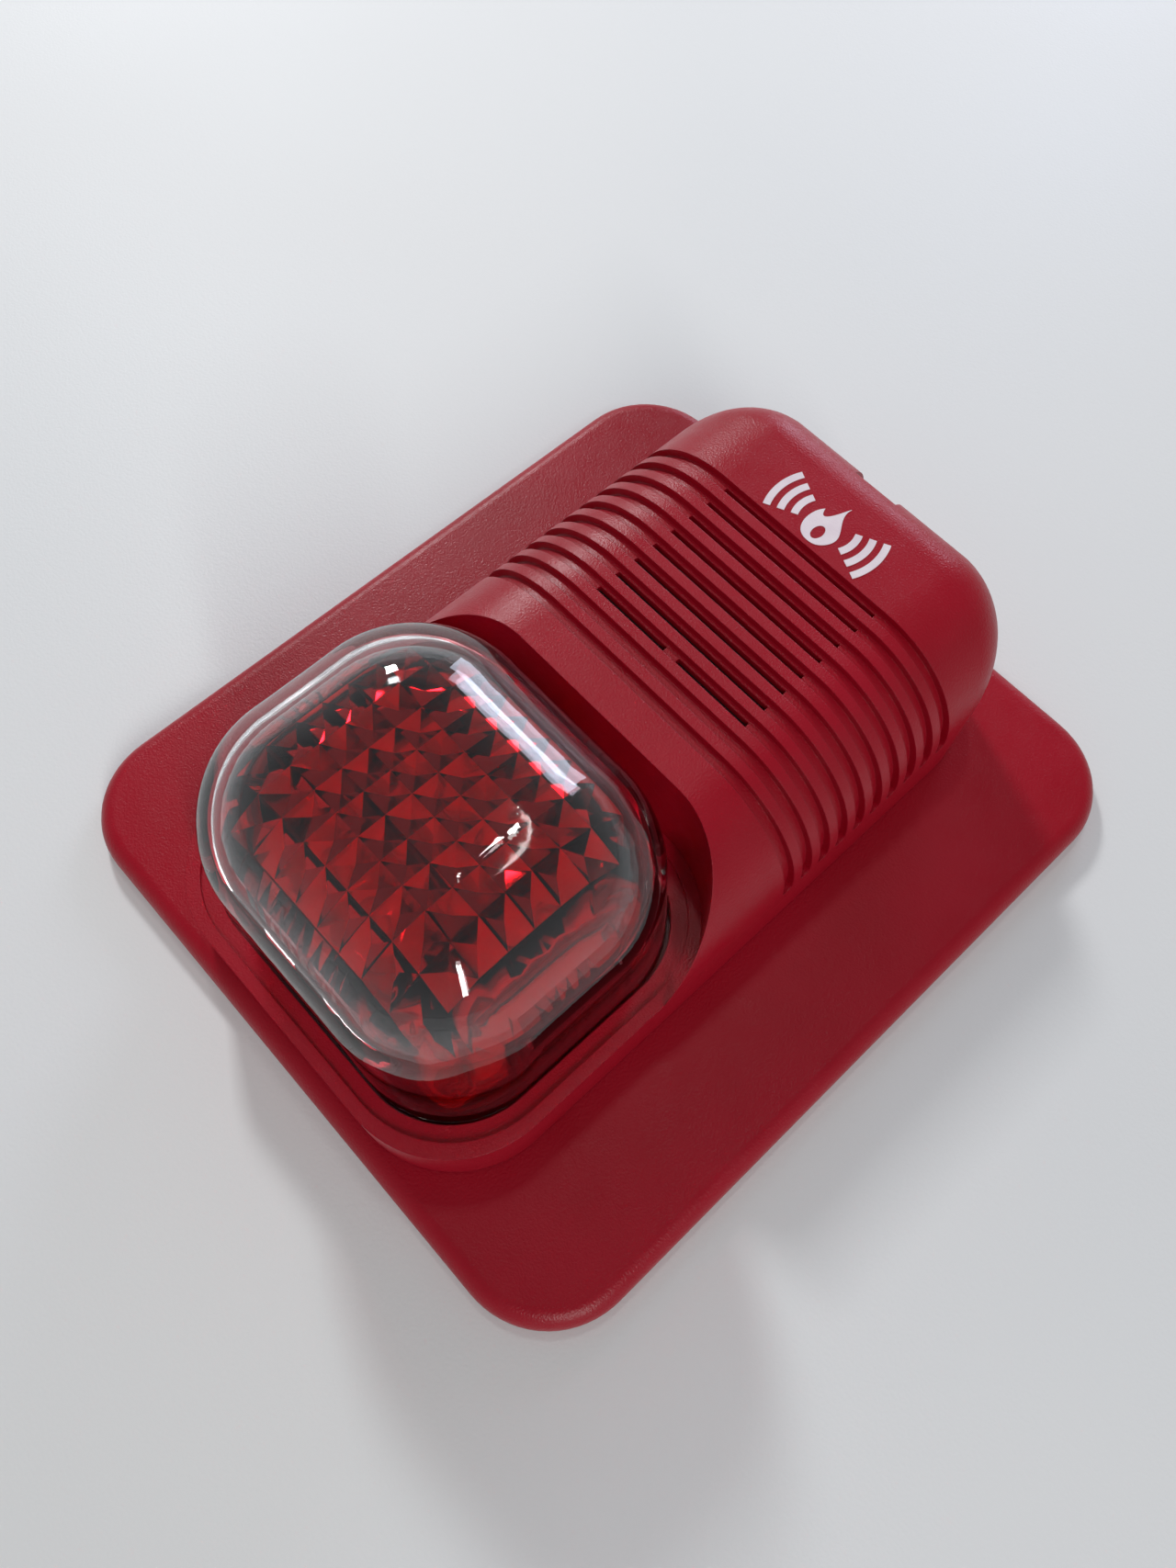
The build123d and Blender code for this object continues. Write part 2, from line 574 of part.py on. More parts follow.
with BuildPart() as rear_cover:
    with BuildSketch(Plane.XY.offset(COVER_Z)):
        rounded(HALF_WIDTH - WALL - 0.2, STROBE_END + WALL + 0.2, HORN_END - WALL - 0.2, CORNER - WALL - 0.2)
        with Locations((0, NUT_Y + NUT_THICK)):
            Rectangle(18.0, 20.0, align=(Align.CENTER, Align.MIN), mode=Mode.SUBTRACT)
        with Locations((0, (BLOCK_LOW_Y + BLOCK_HIGH_Y) / 2)):
            Rectangle(TERMINALS * TERMINAL_PITCH + 6.0, 23.0, mode=Mode.SUBTRACT)
        with Locations((SWITCH_X, SWITCH_Y)):
            Rectangle(14.0, 9.0, mode=Mode.SUBTRACT)
        with Locations((TRIMMER_X, TRIMMER_Y)):
            Circle(4.0, mode=Mode.SUBTRACT)
    extrude(amount=COVER_TOP_Z - COVER_Z)
    cylinders(LED_POSTS, 2.6, COVER_TOP_Z, LED_BOARD_Z)
    cylinders(LED_POSTS, SCREW_RADIUS, COVER_Z + 0.8, LED_BOARD_Z, Mode.SUBTRACT)
    cylinders(COVER_SCREWS, 1.4, COVER_Z, COVER_TOP_Z, Mode.SUBTRACT)
    cylinders(COVER_SCREWS, 2.9, COVER_Z, COVER_Z + 1.2, Mode.SUBTRACT)
    # Cage for the lock nut
    with BuildSketch(Plane.XZ.offset(-NUT_Y - NUT_THICK)):
        with Locations((0, LOCK_Z)):
            Rectangle(9.0, 7.0)
    extrude(amount=NUT_THICK + 2.0)
    with BuildSketch(Plane.XZ.offset(-NUT_Y - NUT_THICK)):
        with Locations((0, LOCK_Z)):
            Rectangle(5.6, 5.6)
    extrude(amount=NUT_THICK, mode=Mode.SUBTRACT)
    with BuildSketch(Plane.XZ.offset(-NUT_Y)):
        with Locations((0, LOCK_Z)):
            Circle(LOCK_RADIUS + 0.35)
    extrude(amount=2.0, mode=Mode.SUBTRACT)
save(rear_cover.part, "rear_cover")

with BuildPart() as cover_screws:
    cylinders(COVER_SCREWS, SCREW_RADIUS, COVER_Z + 1.2, COVER_TOP_Z + 8.0)
    cylinders(COVER_SCREWS, 2.6, COVER_Z + 0.1, COVER_Z + 1.2)
    cross_recess(COVER_SCREWS, COVER_Z + 0.1, COVER_Z + 0.8)
save(cover_screws.part, "cover_screws")

# ------------------------------------------------------------- sounder pieces

# Dust mesh: a fine screen behind the slots
with BuildPart() as dust_mesh:
    with BuildSketch(Plane.XY.offset(CHAMBER_TOP_Z)):
        with Locations((0, CHAMBER_Y)):
            Rectangle(38.6, 36.0)
    extrude(amount=MESH_THICK)
save(dust_mesh.part, "dust_mesh")

# Horn chamber: a cup that opens towards the slots, with an ear on each side
with BuildPart() as horn_chamber:
    with BuildSketch(Plane.XY.offset(CHAMBER_Z)):
        with Locations((0, CHAMBER_Y)):
            Circle(CHAMBER_RADIUS)
    extrude(amount=CHAMBER_TOP_Z - CHAMBER_Z)
    with BuildSketch(Plane.XY.offset(EAR_TOP_Z - 3.0)):
        with Locations((0, CHAMBER_Y)):
            SlotCenterToCenter(2 * CHAMBER_SCREWS[1][0], 6.0)
    extrude(amount=3.0)
    cylinders([(0, CHAMBER_Y)], DISC_RADIUS + 0.1, CHAMBER_Z, DISC_TOP_Z, Mode.SUBTRACT)
    cylinders([(0, CHAMBER_Y)], DISC_RADIUS - 1.5, DISC_TOP_Z, CHAMBER_TOP_Z - 1.5, Mode.SUBTRACT)
    cylinders([(0, CHAMBER_Y)], 10.0, CHAMBER_TOP_Z - 1.5, CHAMBER_TOP_Z, Mode.SUBTRACT)
    cylinders(CHAMBER_SCREWS, 1.4, EAR_TOP_Z - 3.0, EAR_TOP_Z, Mode.SUBTRACT)
save(horn_chamber.part, "horn_chamber")

with BuildPart() as piezo_plate:
    cylinders([(0, CHAMBER_Y)], DISC_RADIUS, DISC_TOP_Z - DISC_THICK, DISC_TOP_Z)
save(piezo_plate.part, "piezo_plate")

with BuildPart() as piezo_ceramic:
    cylinders([(0, CHAMBER_Y)], CERAMIC_RADIUS, DISC_TOP_Z - 2 * DISC_THICK, DISC_TOP_Z - DISC_THICK)
save(piezo_ceramic.part, "piezo_ceramic")

# Ring that presses the disc's rim against the chamber's step
with BuildPart() as piezo_ring:
    cylinders([(0, CHAMBER_Y)], DISC_RADIUS, CHAMBER_Z + 0.2, DISC_TOP_Z - DISC_THICK)
    cylinders([(0, CHAMBER_Y)], DISC_RADIUS - 2.5, CHAMBER_Z + 0.2, DISC_TOP_Z - DISC_THICK, Mode.SUBTRACT)
save(piezo_ring.part, "piezo_ring")

with BuildPart() as chamber_screws:
    cylinders(CHAMBER_SCREWS, SCREW_RADIUS, EAR_TOP_Z - 3.0, EAR_TOP_Z + 1.2)
    cylinders(CHAMBER_SCREWS, 2.2, EAR_TOP_Z - 4.5, EAR_TOP_Z - 3.0)
    cross_recess(CHAMBER_SCREWS, EAR_TOP_Z - 4.5, EAR_TOP_Z - 3.8)
save(chamber_screws.part, "chamber_screws")

# ---------------------------------------------------------- driver electronics

with BuildPart() as main_board:
    with BuildSketch(Plane.XY.offset(BOARD_Z)):
        rounded(28.5, 1.0, 56.0, 1.5)
        with Locations(*BOARD_SCREWS):
            Circle(1.4, mode=Mode.SUBTRACT)
    extrude(amount=BOARD_THICK)
save(main_board.part, "main_board")

with BuildPart() as board_screws:
    cylinders(BOARD_SCREWS, SCREW_RADIUS, BOARD_Z, BOARD_TOP_Z + 7.0)
    cylinders(BOARD_SCREWS, 2.3, BOARD_Z - 1.6, BOARD_Z)
    cross_recess(BOARD_SCREWS, BOARD_Z - 1.6, BOARD_Z - 0.8)
save(board_screws.part, "board_screws")

CAN_PLACES = [(-14.0, 51.0), (-22.8, 41.0)]
with BuildPart() as capacitors:
    cylinders(CAN_PLACES, 4.0, BOARD_TOP_Z, BOARD_TOP_Z + 11.0)
    fillet(capacitors.faces().group_by(Axis.Z)[-1].edges(), 0.6)
save(capacitors.part, "capacitors")

# Step-up coil for the sounder, a bobbin with its winding
with BuildPart() as horn_coil:
    cylinders([(12.0, 51.5)], 4.4, BOARD_TOP_Z, BOARD_TOP_Z + 1.2)
    cylinders([(12.0, 51.5)], 3.7, BOARD_TOP_Z + 1.2, BOARD_TOP_Z + 7.8)
    cylinders([(12.0, 51.5)], 4.4, BOARD_TOP_Z + 7.8, BOARD_TOP_Z + 9.0)
save(horn_coil.part, "horn_coil")

with BuildPart() as controller_chip:
    with BuildSketch(Plane.XY.offset(BOARD_TOP_Z)):
        with Locations((-6.0, 22.0)):
            Rectangle(9.0, 6.0)
    extrude(amount=1.7)
    chamfer(controller_chip.faces().sort_by(Axis.Z)[-1].edges(), 0.3)
save(controller_chip.part, "controller_chip")

with BuildPart() as power_transistors:
    with BuildSketch(Plane.XY.offset(BOARD_TOP_Z)):
        with Locations((8.0, 18.0), (8.0, 27.0), (16.0, 18.0), (16.0, 27.0)):
            Rectangle(4.6, 6.0)
    extrude(amount=2.0)
save(power_transistors.part, "power_transistors")

# Plug: four square pins in a strip under the board
with BuildPart() as pin_header:
    with BuildSketch(Plane.XY.offset(BOARD_Z - 2.2)):
        with Locations((0, SOCKET_Y)):
            Rectangle(TERMINALS * TERMINAL_PITCH, 3.0)
        with Locations(*SOCKET_PLACES):
            Rectangle(1.0, 0.8, mode=Mode.SUBTRACT)
    extrude(amount=2.2)
save(pin_header.part, "pin_header")

with BuildPart() as plug_pins:
    with BuildSketch(Plane.XY.offset(SOCKET_Z + 1.4)):
        with Locations(*SOCKET_PLACES):
            Rectangle(1.0, 0.8)
    extrude(amount=BOARD_Z - SOCKET_Z - 1.4)
    chamfer(plug_pins.faces().group_by(Axis.Z)[0].edges(), 0.2)
save(plug_pins.part, "plug_pins")

# ------------------------------------------------------------ setting switches

with BuildPart() as dip_switch:
    with BuildSketch(Plane.XY.offset(SWITCH_Z)):
        with Locations((SWITCH_X, SWITCH_Y)):
            Rectangle(SLIDERS * SLIDER_PITCH + 1.4, 6.6)
    extrude(amount=BOARD_Z - SWITCH_Z)
    with BuildSketch(Plane.XY.offset(SWITCH_Z)):
        for x in SLIDER_X:
            with Locations((x, SWITCH_Y)):
                Rectangle(1.7, 1.4 + SLIDER_TRAVEL + 0.3)
    extrude(amount=2.8, mode=Mode.SUBTRACT)
save(dip_switch.part, "dip_switch")

for number, x in enumerate(SLIDER_X, start=1):
    with BuildPart() as dip_slider:
        with BuildSketch(Plane.XY.offset(SWITCH_Z - 0.6)):
            with Locations((x, SWITCH_Y - SLIDER_TRAVEL / 2)):
                Rectangle(1.3, 1.4)
        extrude(amount=3.2)
    save(dip_slider.part, f"dip_slider_{number}")

with BuildPart() as trimmer_body:
    with BuildSketch(Plane.XY.offset(TRIMMER_Z)):
        with Locations((TRIMMER_X, TRIMMER_Y)):
            Rectangle(7.0, 7.0)
    extrude(amount=BOARD_Z - TRIMMER_Z)
    cylinders([(TRIMMER_X, TRIMMER_Y)], 2.7, TRIMMER_Z, TRIMMER_Z + 2.4, Mode.SUBTRACT)
save(trimmer_body.part, "trimmer_body")

# Trimmer rotor with an arrow slot, turned with a small driver
with BuildPart() as trimmer_rotor:
    cylinders([(TRIMMER_X, TRIMMER_Y)], 2.4, TRIMMER_Z - 0.3, TRIMMER_Z + 2.1)
    with BuildSketch(Plane.XY.offset(TRIMMER_Z - 0.3)):
        with Locations((TRIMMER_X, TRIMMER_Y)):
            Rectangle(0.8, 3.8)
        with Locations((TRIMMER_X, TRIMMER_Y + 0.9)):
            Rectangle(2.2, 0.8)
    extrude(amount=1.0, mode=Mode.SUBTRACT)
save(trimmer_rotor.part, "trimmer_rotor")

# ---------------------------------------------------------------------- leads

LEAD_RADIUS = 0.45


def lead(points, bend):
    """Insulated lead along straight runs with round bends."""
    with BuildPart() as wire:
        with BuildLine() as route:
            FilletPolyline(*points, radius=bend)
        with BuildSketch(Plane(route.line @ 0, z_dir=route.line % 0)):
            Circle(LEAD_RADIUS)
        sweep()
    return wire.part


DISC_UNDER_Z = DISC_TOP_Z - DISC_THICK
PIEZO_ENDS = [(-4.0, 34.0, DISC_UNDER_Z - DISC_THICK), (4.0, 43.0, DISC_UNDER_Z)]
piezo_routes = [
    lead([(x, 49.5, BOARD_TOP_Z), (x, 49.5, 26.4), (x, y, 26.4), (x, y, z)], 1.2) for x, y, z in PIEZO_ENDS
]
with BuildPart() as piezo_leads:
    add(piezo_routes)
save(piezo_leads.part, "piezo_leads")

strobe_routes = [
    lead([(x, 3.5, BOARD_Z), (x, 3.5, 14.7), (x, -21.0, 14.7), (x, -21.0, LED_BOARD_Z)], 0.6)
    for x in (-2.0, 2.0)
]
with BuildPart() as strobe_leads:
    add(strobe_routes)
save(strobe_leads.part, "strobe_leads")

# ------------------------------------------------------------------ lock screw

LOCK_LENGTH = NOTCH_FLOOR_Y - NUT_Y + 1.0
with BuildPart() as lock_nut:
    with BuildSketch(Plane.XZ.offset(-NUT_Y - NUT_THICK)):
        with Locations((0, LOCK_Z)):
            Rectangle(5.5, 5.5)
            Circle(LOCK_RADIUS + 0.2, mode=Mode.SUBTRACT)
    extrude(amount=NUT_THICK)
save(lock_nut.part, "lock_nut")

with BuildPart() as lock_screw:
    with BuildSketch(Plane.XZ.offset(-NOTCH_FLOOR_Y)):
        with Locations((0, LOCK_Z)):
            Circle(LOCK_RADIUS)
    extrude(amount=LOCK_LENGTH)
    with BuildSketch(Plane.XZ.offset(-NOTCH_FLOOR_Y)):
        with Locations((0, LOCK_Z)):
            Circle(2.75)
    extrude(amount=-2.0)
    with BuildSketch(Plane.XZ.offset(-NOTCH_FLOOR_Y - 1.0)):
        with Locations((0, LOCK_Z)):
            Rectangle(3.4, 0.8)
            Rectangle(0.8, 3.4)
    extrude(amount=-1.0, mode=Mode.SUBTRACT)
save(lock_screw.part, "lock_screw")

# -------------------------------------------------------------- printed symbol


def wave_stroke(radius, side):
    """One sound wave: a short arc band beside the flame, to its left or right."""
    with BuildSketch() as band:
        Circle(radius + STROKE / 2)
        Circle(radius - STROKE / 2, mode=Mode.SUBTRACT)
        with BuildLine():
            reach = side * 2.0 * radius
            Polyline((0, 0), (reach, 0.95 * radius), (reach, -0.95 * radius), (0, 0))
        make_face(mode=Mode.INTERSECT)
    return band.sketch


def flame_shape():
    """Flame with a high tip, a low side tip and a drop-shaped opening."""
    with BuildSketch() as flame:
        with BuildLine():
            Spline((1.0, 5.8), (1.7, 2.4), (3.6, -1.4), (2.3, -4.3), (0.0, -5.2))
            Spline((0.0, -5.2), (-2.6, -4.2), (-3.6, -1.2), (-2.5, 2.4))
            Spline((-2.5, 2.4), (-1.5, 1.0), (-0.3, 2.6), (1.0, 5.8))
        make_face()
        with Locations((0.1, -2.5)):
            Ellipse(1.1, 1.7, mode=Mode.SUBTRACT)
    return flame.sketch


# Flame between sound waves, printed on the flat of the housing
STROKE = 1.4
waves = [wave_stroke(radius, side) for radius in (6.2, 8.9, 11.6) for side in (-1, 1)]
flame_face = flame_shape()
with BuildPart() as symbol_print:
    with BuildSketch(Plane.XY.offset(TOP_Z)):
        with Locations((0, SYMBOL_Y)):
            add(flame_face)
            add(waves)
    extrude(amount=INK)
save(symbol_print.part, "symbol_print")
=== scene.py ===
"""Wall horn strobe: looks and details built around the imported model, in metres."""

import math

import bmesh
import bpy
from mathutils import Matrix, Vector


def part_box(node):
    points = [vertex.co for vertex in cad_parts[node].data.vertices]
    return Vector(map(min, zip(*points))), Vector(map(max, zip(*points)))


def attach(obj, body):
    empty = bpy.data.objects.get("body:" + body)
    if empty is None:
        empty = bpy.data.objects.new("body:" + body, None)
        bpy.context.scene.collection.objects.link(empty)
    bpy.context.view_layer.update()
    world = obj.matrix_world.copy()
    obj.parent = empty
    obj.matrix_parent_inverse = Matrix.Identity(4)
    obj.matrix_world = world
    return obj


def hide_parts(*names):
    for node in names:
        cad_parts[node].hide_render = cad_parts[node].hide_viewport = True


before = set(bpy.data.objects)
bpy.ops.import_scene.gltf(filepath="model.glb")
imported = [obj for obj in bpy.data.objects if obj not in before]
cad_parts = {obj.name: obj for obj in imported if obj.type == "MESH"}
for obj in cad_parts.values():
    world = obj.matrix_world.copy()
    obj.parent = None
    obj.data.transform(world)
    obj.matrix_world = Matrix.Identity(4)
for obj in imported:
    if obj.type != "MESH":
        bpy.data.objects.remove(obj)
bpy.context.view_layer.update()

# ------------------------------------------------------------------ back plate
# A rectangular tray moulded in red ABS, 6 mm deep, with a fine spark-eroded skin.
# It stays as the model has it and takes the red satin finish, which the head
# housing shares: painted paler along the edges as a highlight, slightly mottled on the flats.


def add_node(tree, kind, inputs=None, **settings):
    """One node: settings are its attributes, inputs are values or the sockets that feed it."""
    node = tree.nodes.new(kind)
    for key, value in settings.items():
        setattr(node, key, value)
    for key, value in (inputs or {}).items():
        if isinstance(value, bpy.types.NodeSocket):
            tree.links.new(value, node.inputs[key])
        else:
            node.inputs[key].default_value = value
    return node


def shader_group(name, inputs, outputs):
    """Empty shader node group with float inputs; its outputs are (name, socket type)."""
    tree = bpy.data.node_groups.new(name, "ShaderNodeTree")
    for label, start in inputs:
        socket = tree.interface.new_socket(name=label, in_out="INPUT", socket_type="NodeSocketFloat")
        socket.default_value = start
    for label, kind in outputs:
        tree.interface.new_socket(name=label, in_out="OUTPUT", socket_type=kind)
    return tree, tree.nodes.new("NodeGroupInput"), tree.nodes.new("NodeGroupOutput")


def mixed(tree, factor, first, second):
    """Colour between first and second by a factor socket."""
    node = tree.nodes.new("ShaderNodeMix")
    node.data_type = "RGBA"
    tree.links.new(factor, node.inputs[0])
    for place, value in ((6, first), (7, second)):
        if isinstance(value, bpy.types.NodeSocket):
            tree.links.new(value, node.inputs[place])
        else:
            node.inputs[place].default_value = (*value, 1.0)
    return node.outputs[2]


def ranged(tree, value, low, high, start, end):
    """Map Range from low..high to start..end, clamped."""
    node = add_node(tree, "ShaderNodeMapRange", {"Value": value})
    for label, amount in (("From Min", low), ("From Max", high), ("To Min", start), ("To Max", end)):
        node.inputs[label].default_value = amount
    return node.outputs["Result"]


def new_material(name):
    """Material with its node tree and Principled shader."""
    material = bpy.data.materials.new(name)
    material.use_nodes = True
    tree = material.node_tree
    return material, tree, tree.nodes["Principled BSDF"]


def noise(tree, scale, detail=2.0):
    """Noise on the piece's own coordinates."""
    place = tree.nodes.new("ShaderNodeTexCoord").outputs["Object"]
    texture = add_node(tree, "ShaderNodeTexNoise", {"Vector": place, "Scale": scale, "Detail": detail})
    return texture.outputs[0]


def bumped(tree, shader, height, distance, normal=None):
    """Raise the surface by a height socket, over a given normal where there is one."""
    bump = add_node(tree, "ShaderNodeBump", {"Distance": distance, "Height": height})
    if normal:
        tree.links.new(normal, bump.inputs["Normal"])
    tree.links.new(bump.outputs["Normal"], shader.inputs["Normal"])


GRAIN = 2600.0
SLOW_TONE = 38.0
GLOSS_PATCHES = 210.0
HIGHLIGHT_FROM, HIGHLIGHT_TO = 0.99, 0.8

# Fine moulded grain: a height for the bump, a slow tone and a middling gloss mask
grain_group, ends_in, ends_out = shader_group(
    "moulded grain",
    [("Grain Scale", GRAIN)],
    [("Height", "NodeSocketFloat"), ("Tone", "NodeSocketFloat"), ("Gloss", "NodeSocketFloat")],
)
grain_group.links.new(noise(grain_group, ends_in.outputs["Grain Scale"]), ends_out.inputs["Height"])
tone = ranged(grain_group, noise(grain_group, SLOW_TONE, 3.0), 0.3, 0.7, 0.0, 1.0)
grain_group.links.new(tone, ends_out.inputs["Tone"])
gloss = ranged(grain_group, noise(grain_group, GLOSS_PATCHES, 4.0), 0.3, 0.7, 0.0, 1.0)
grain_group.links.new(gloss, ends_out.inputs["Gloss"])

# Painted edge highlight: a normal rounded over the sharp edges, and a mask of where it turns, by which those
# edges are painted paler
edge_highlight_group, ends_in, ends_out = shader_group(
    "painted edge highlight",
    [("Radius", 0.0004)],
    [("Mask", "NodeSocketFloat"), ("Normal", "NodeSocketVector")],
)
rounded_edge = add_node(edge_highlight_group, "ShaderNodeBevel", samples=3)
edge_highlight_group.links.new(ends_in.outputs["Radius"], rounded_edge.inputs["Radius"])
true_normal = edge_highlight_group.nodes.new("ShaderNodeNewGeometry").outputs["Normal"]
turn = add_node(
    edge_highlight_group,
    "ShaderNodeVectorMath",
    {0: rounded_edge.outputs["Normal"], 1: true_normal},
    operation="DOT_PRODUCT",
)
# This mask marks the sharp edges that get a painted highlight
edge_highlight = ranged(edge_highlight_group, turn.outputs["Value"], HIGHLIGHT_FROM, HIGHLIGHT_TO, 0.0, 1.0)
edge_highlight_group.links.new(edge_highlight, ends_out.inputs["Mask"])
edge_highlight_group.links.new(rounded_edge.outputs["Normal"], ends_out.inputs["Normal"])


def moulded(name, colour, pale, roughness, grain=GRAIN, depth=0.00002, highlight_amount=0.3, edge=0.0003):
    """Moulded plastic: grain in the bump and gloss, slow tone, edges painted paler as a highlight."""
    material, tree, shader = new_material(name)
    skin = add_node(tree, "ShaderNodeGroup", {"Grain Scale": grain}, node_tree=grain_group)
    tone = ranged(tree, skin.outputs["Tone"], 0.0, 1.0, 0.0, 0.35)
    paint = mixed(tree, tone, colour, pale)
    normal = None
    if edge:
        # Sharp edges are painted towards the pale colour: a painted edge highlight
        edge_highlight = add_node(tree, "ShaderNodeGroup", {"Radius": edge}, node_tree=edge_highlight_group)
        paint = mixed(tree, ranged(tree, edge_highlight.outputs["Mask"], 0.0, 1.0, 0.0, highlight_amount), paint, pale)
        normal = edge_highlight.outputs["Normal"]
    tree.links.new(paint, shader.inputs["Base Color"])
    gloss = ranged(tree, skin.outputs["Gloss"], 0.0, 1.0, roughness - 0.05, roughness + 0.05)
    tree.links.new(gloss, shader.inputs["Roughness"])
    bumped(tree, shader, skin.outputs["Height"], depth, normal)
    return material


def dress(node, material):
    """Give a node of the model its finish."""
    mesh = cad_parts[node].data
    if not mesh.materials:
        mesh.materials.append(None)
    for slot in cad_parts[node].material_slots:
        slot.link = "OBJECT"
        slot.material = material


SATIN_SHEEN = 0.32
red_satin = moulded("red satin ABS", (0.32, 0.001, 0.011), (0.44, 0.005, 0.024), 0.36, depth=0.00009, highlight_amount=0.5)
red_satin.node_tree.nodes["Principled BSDF"].inputs["Specular IOR Level"].default_value = SATIN_SHEEN
dress("backplate", red_satin)

# --------------------------------------------------------------- mounting base
# A low tray in black ABS that stays on the wall when the head is pulled off.
# It stays as the model has it, with the bracket for the lock screw at its end.

black_matt = moulded("black matt ABS", (0.018, 0.018, 0.02), (0.05, 0.05, 0.052), 0.5, depth=0.00004)
dress("mounting_base", black_matt)

# --------------------------------------------------------------------- screws
# Zinc-plated self-tapping screws with domed heads and cross recesses. They hold
# the base to the plate, the cover to the head, and each board and the chamber
# in place. One tree makes them all, from a head, a shank and a spiral thread.


def plated(name, colour, tint, roughness, scale=900.0):
    """Plated or rolled metal: fine drawn lines in the gloss, a cloudy tint."""
    material, tree, shader = new_material(name)
    shader.inputs["Metallic"].default_value = 1.0
    cloud = noise(tree, 320.0, 3.0)
    lines = noise(tree, scale, 4.0)
    tree.links.new(mixed(tree, cloud, colour, tint), shader.inputs["Base Color"])
    rough = ranged(tree, lines, 0.3, 0.7, roughness - 0.08, roughness + 0.12)
    tree.links.new(rough, shader.inputs["Roughness"])
    bumped(tree, shader, lines, 0.00001)
    return material


zinc = plated("zinc-plated steel", (0.56, 0.56, 0.58), (0.66, 0.65, 0.6), 0.3)


def geometry_tree(name, floats, materials=("Material",), vectors=()):
    """Geometry node tree with named inputs; its ends are returned with it."""
    tree = bpy.data.node_groups.new(name, "GeometryNodeTree")
    tree.interface.new_socket(name="Geometry", in_out="INPUT", socket_type="NodeSocketGeometry")
    for label in floats:
        tree.interface.new_socket(name=label, in_out="INPUT", socket_type="NodeSocketFloat")
    for label in vectors:
        tree.interface.new_socket(name=label, in_out="INPUT", socket_type="NodeSocketVector")
    for label in materials:
        tree.interface.new_socket(name=label, in_out="INPUT", socket_type="NodeSocketMaterial")
    tree.interface.new_socket(name="Geometry", in_out="OUTPUT", socket_type="NodeSocketGeometry")
    return tree, tree.nodes.new("NodeGroupInput"), tree.nodes.new("NodeGroupOutput")


def grown(name, places, tree, values, sharp=35.0):
    """Object from a tree run on points at the given places, turned into a plain mesh."""
    seats = bpy.data.meshes.new(name + " seats")
    seats.from_pydata(places, [], [])
    piece = bpy.data.objects.new(name, seats)
    bpy.context.scene.collection.objects.link(piece)
    modifier = piece.modifiers.new("grow", "NODES")
    modifier.node_group = tree
    for item in tree.interface.items_tree:
        if item.in_out == "INPUT" and item.name in values:
            modifier[item.identifier] = values[item.name]
    bpy.context.view_layer.update()
    ready = piece.evaluated_get(bpy.context.evaluated_depsgraph_get())
    mesh = bpy.data.meshes.new_from_object(ready)
    piece.modifiers.remove(modifier)
    piece.data = mesh
    mesh.shade_smooth()
    mesh.set_sharp_from_angle(angle=math.radians(sharp))
    return piece


def placed(piece, body, slot, *nodes):
    """Ride on a body and stand for nodes; the slot is not used."""
    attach(piece, body)
    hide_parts(*nodes)


screw_tree, ends_in, ends_out = geometry_tree(
    "cross screw",
    ("Head Radius", "Head Height", "Shank Radius", "Shank Length", "Recess", "Recess Depth", "Pitch"),
    vectors=("Turn",),
)
given = ends_in.outputs


def maths(tree, operation, first, second=0.0):
    """Result of one Math node."""
    node = tree.nodes.new("ShaderNodeMath")
    node.operation = operation
    for place, value in enumerate((first, second)):
        if isinstance(value, bpy.types.NodeSocket):
            tree.links.new(value, node.inputs[place])
        else:
            node.inputs[place].default_value = value
    return node.outputs[0]


def share(tree, size, part):
    """A part of a size."""
    return maths(tree, "MULTIPLY", size, part)


def shifted(tree, shape, z):
    """Shape moved up by a socket's value."""
    offset = add_node(tree, "ShaderNodeCombineXYZ", {"Z": z})
    moved = add_node(tree, "GeometryNodeTransform", {"Geometry": shape, "Translation": offset.outputs[0]})
    return moved.outputs[0]


HEAD_DRAW = 0.42
RECESS_ARM = 0.24
SHANK_CORE = 0.86
THREAD_ROOT = 0.84
THREAD_RIDGE = 0.16
THREADED_PART = 0.8
THREAD_END = -0.92

# Head: a short cylinder whose rings draw in towards the top
head = add_node(
    screw_tree,
    "GeometryNodeMeshCylinder",
    {"Radius": given["Head Radius"], "Depth": given["Head Height"], "Vertices": 28, "Side Segments": 5},
)
spot = screw_tree.nodes.new("GeometryNodeInputPosition")
parts = add_node(screw_tree, "ShaderNodeSeparateXYZ", {0: spot.outputs[0]})
level = maths(screw_tree, "ADD", maths(screw_tree, "DIVIDE", parts.outputs["Z"], given["Head Height"]), 0.5)
steep = maths(screw_tree, "POWER", maths(screw_tree, "MAXIMUM", level, 0.0), 3.0)
keep = maths(screw_tree, "SQRT", maths(screw_tree, "SUBTRACT", 1.0, share(screw_tree, steep, HEAD_DRAW)))
domed_at = add_node(
    screw_tree,
    "ShaderNodeCombineXYZ",
    {
        "X": share(screw_tree, parts.outputs["X"], keep),
        "Y": share(screw_tree, parts.outputs["Y"], keep),
        "Z": parts.outputs["Z"],
    },
)
domed = add_node(
    screw_tree, "GeometryNodeSetPosition", {"Geometry": head.outputs["Mesh"], "Position": domed_at.outputs[0]}
)
recessed = shifted(screw_tree, domed.outputs[0], share(screw_tree, given["Head Height"], 0.5))
for long_side, short_side in (("X", "Y"), ("Y", "X")):
    sides = {
        long_side: given["Recess"],
        short_side: share(screw_tree, given["Recess"], RECESS_ARM),
        "Z": share(screw_tree, given["Recess Depth"], 2.0),
    }
    size = add_node(screw_tree, "ShaderNodeCombineXYZ", sides)
    arm = add_node(screw_tree, "GeometryNodeMeshCube", {"Size": size.outputs[0]})
    cut = add_node(screw_tree, "GeometryNodeMeshBoolean", {"Mesh 1": recessed}, operation="DIFFERENCE")
    screw_tree.links.new(shifted(screw_tree, arm.outputs["Mesh"], given["Head Height"]), cut.inputs["Mesh 2"])
    recessed = cut.outputs["Mesh"]

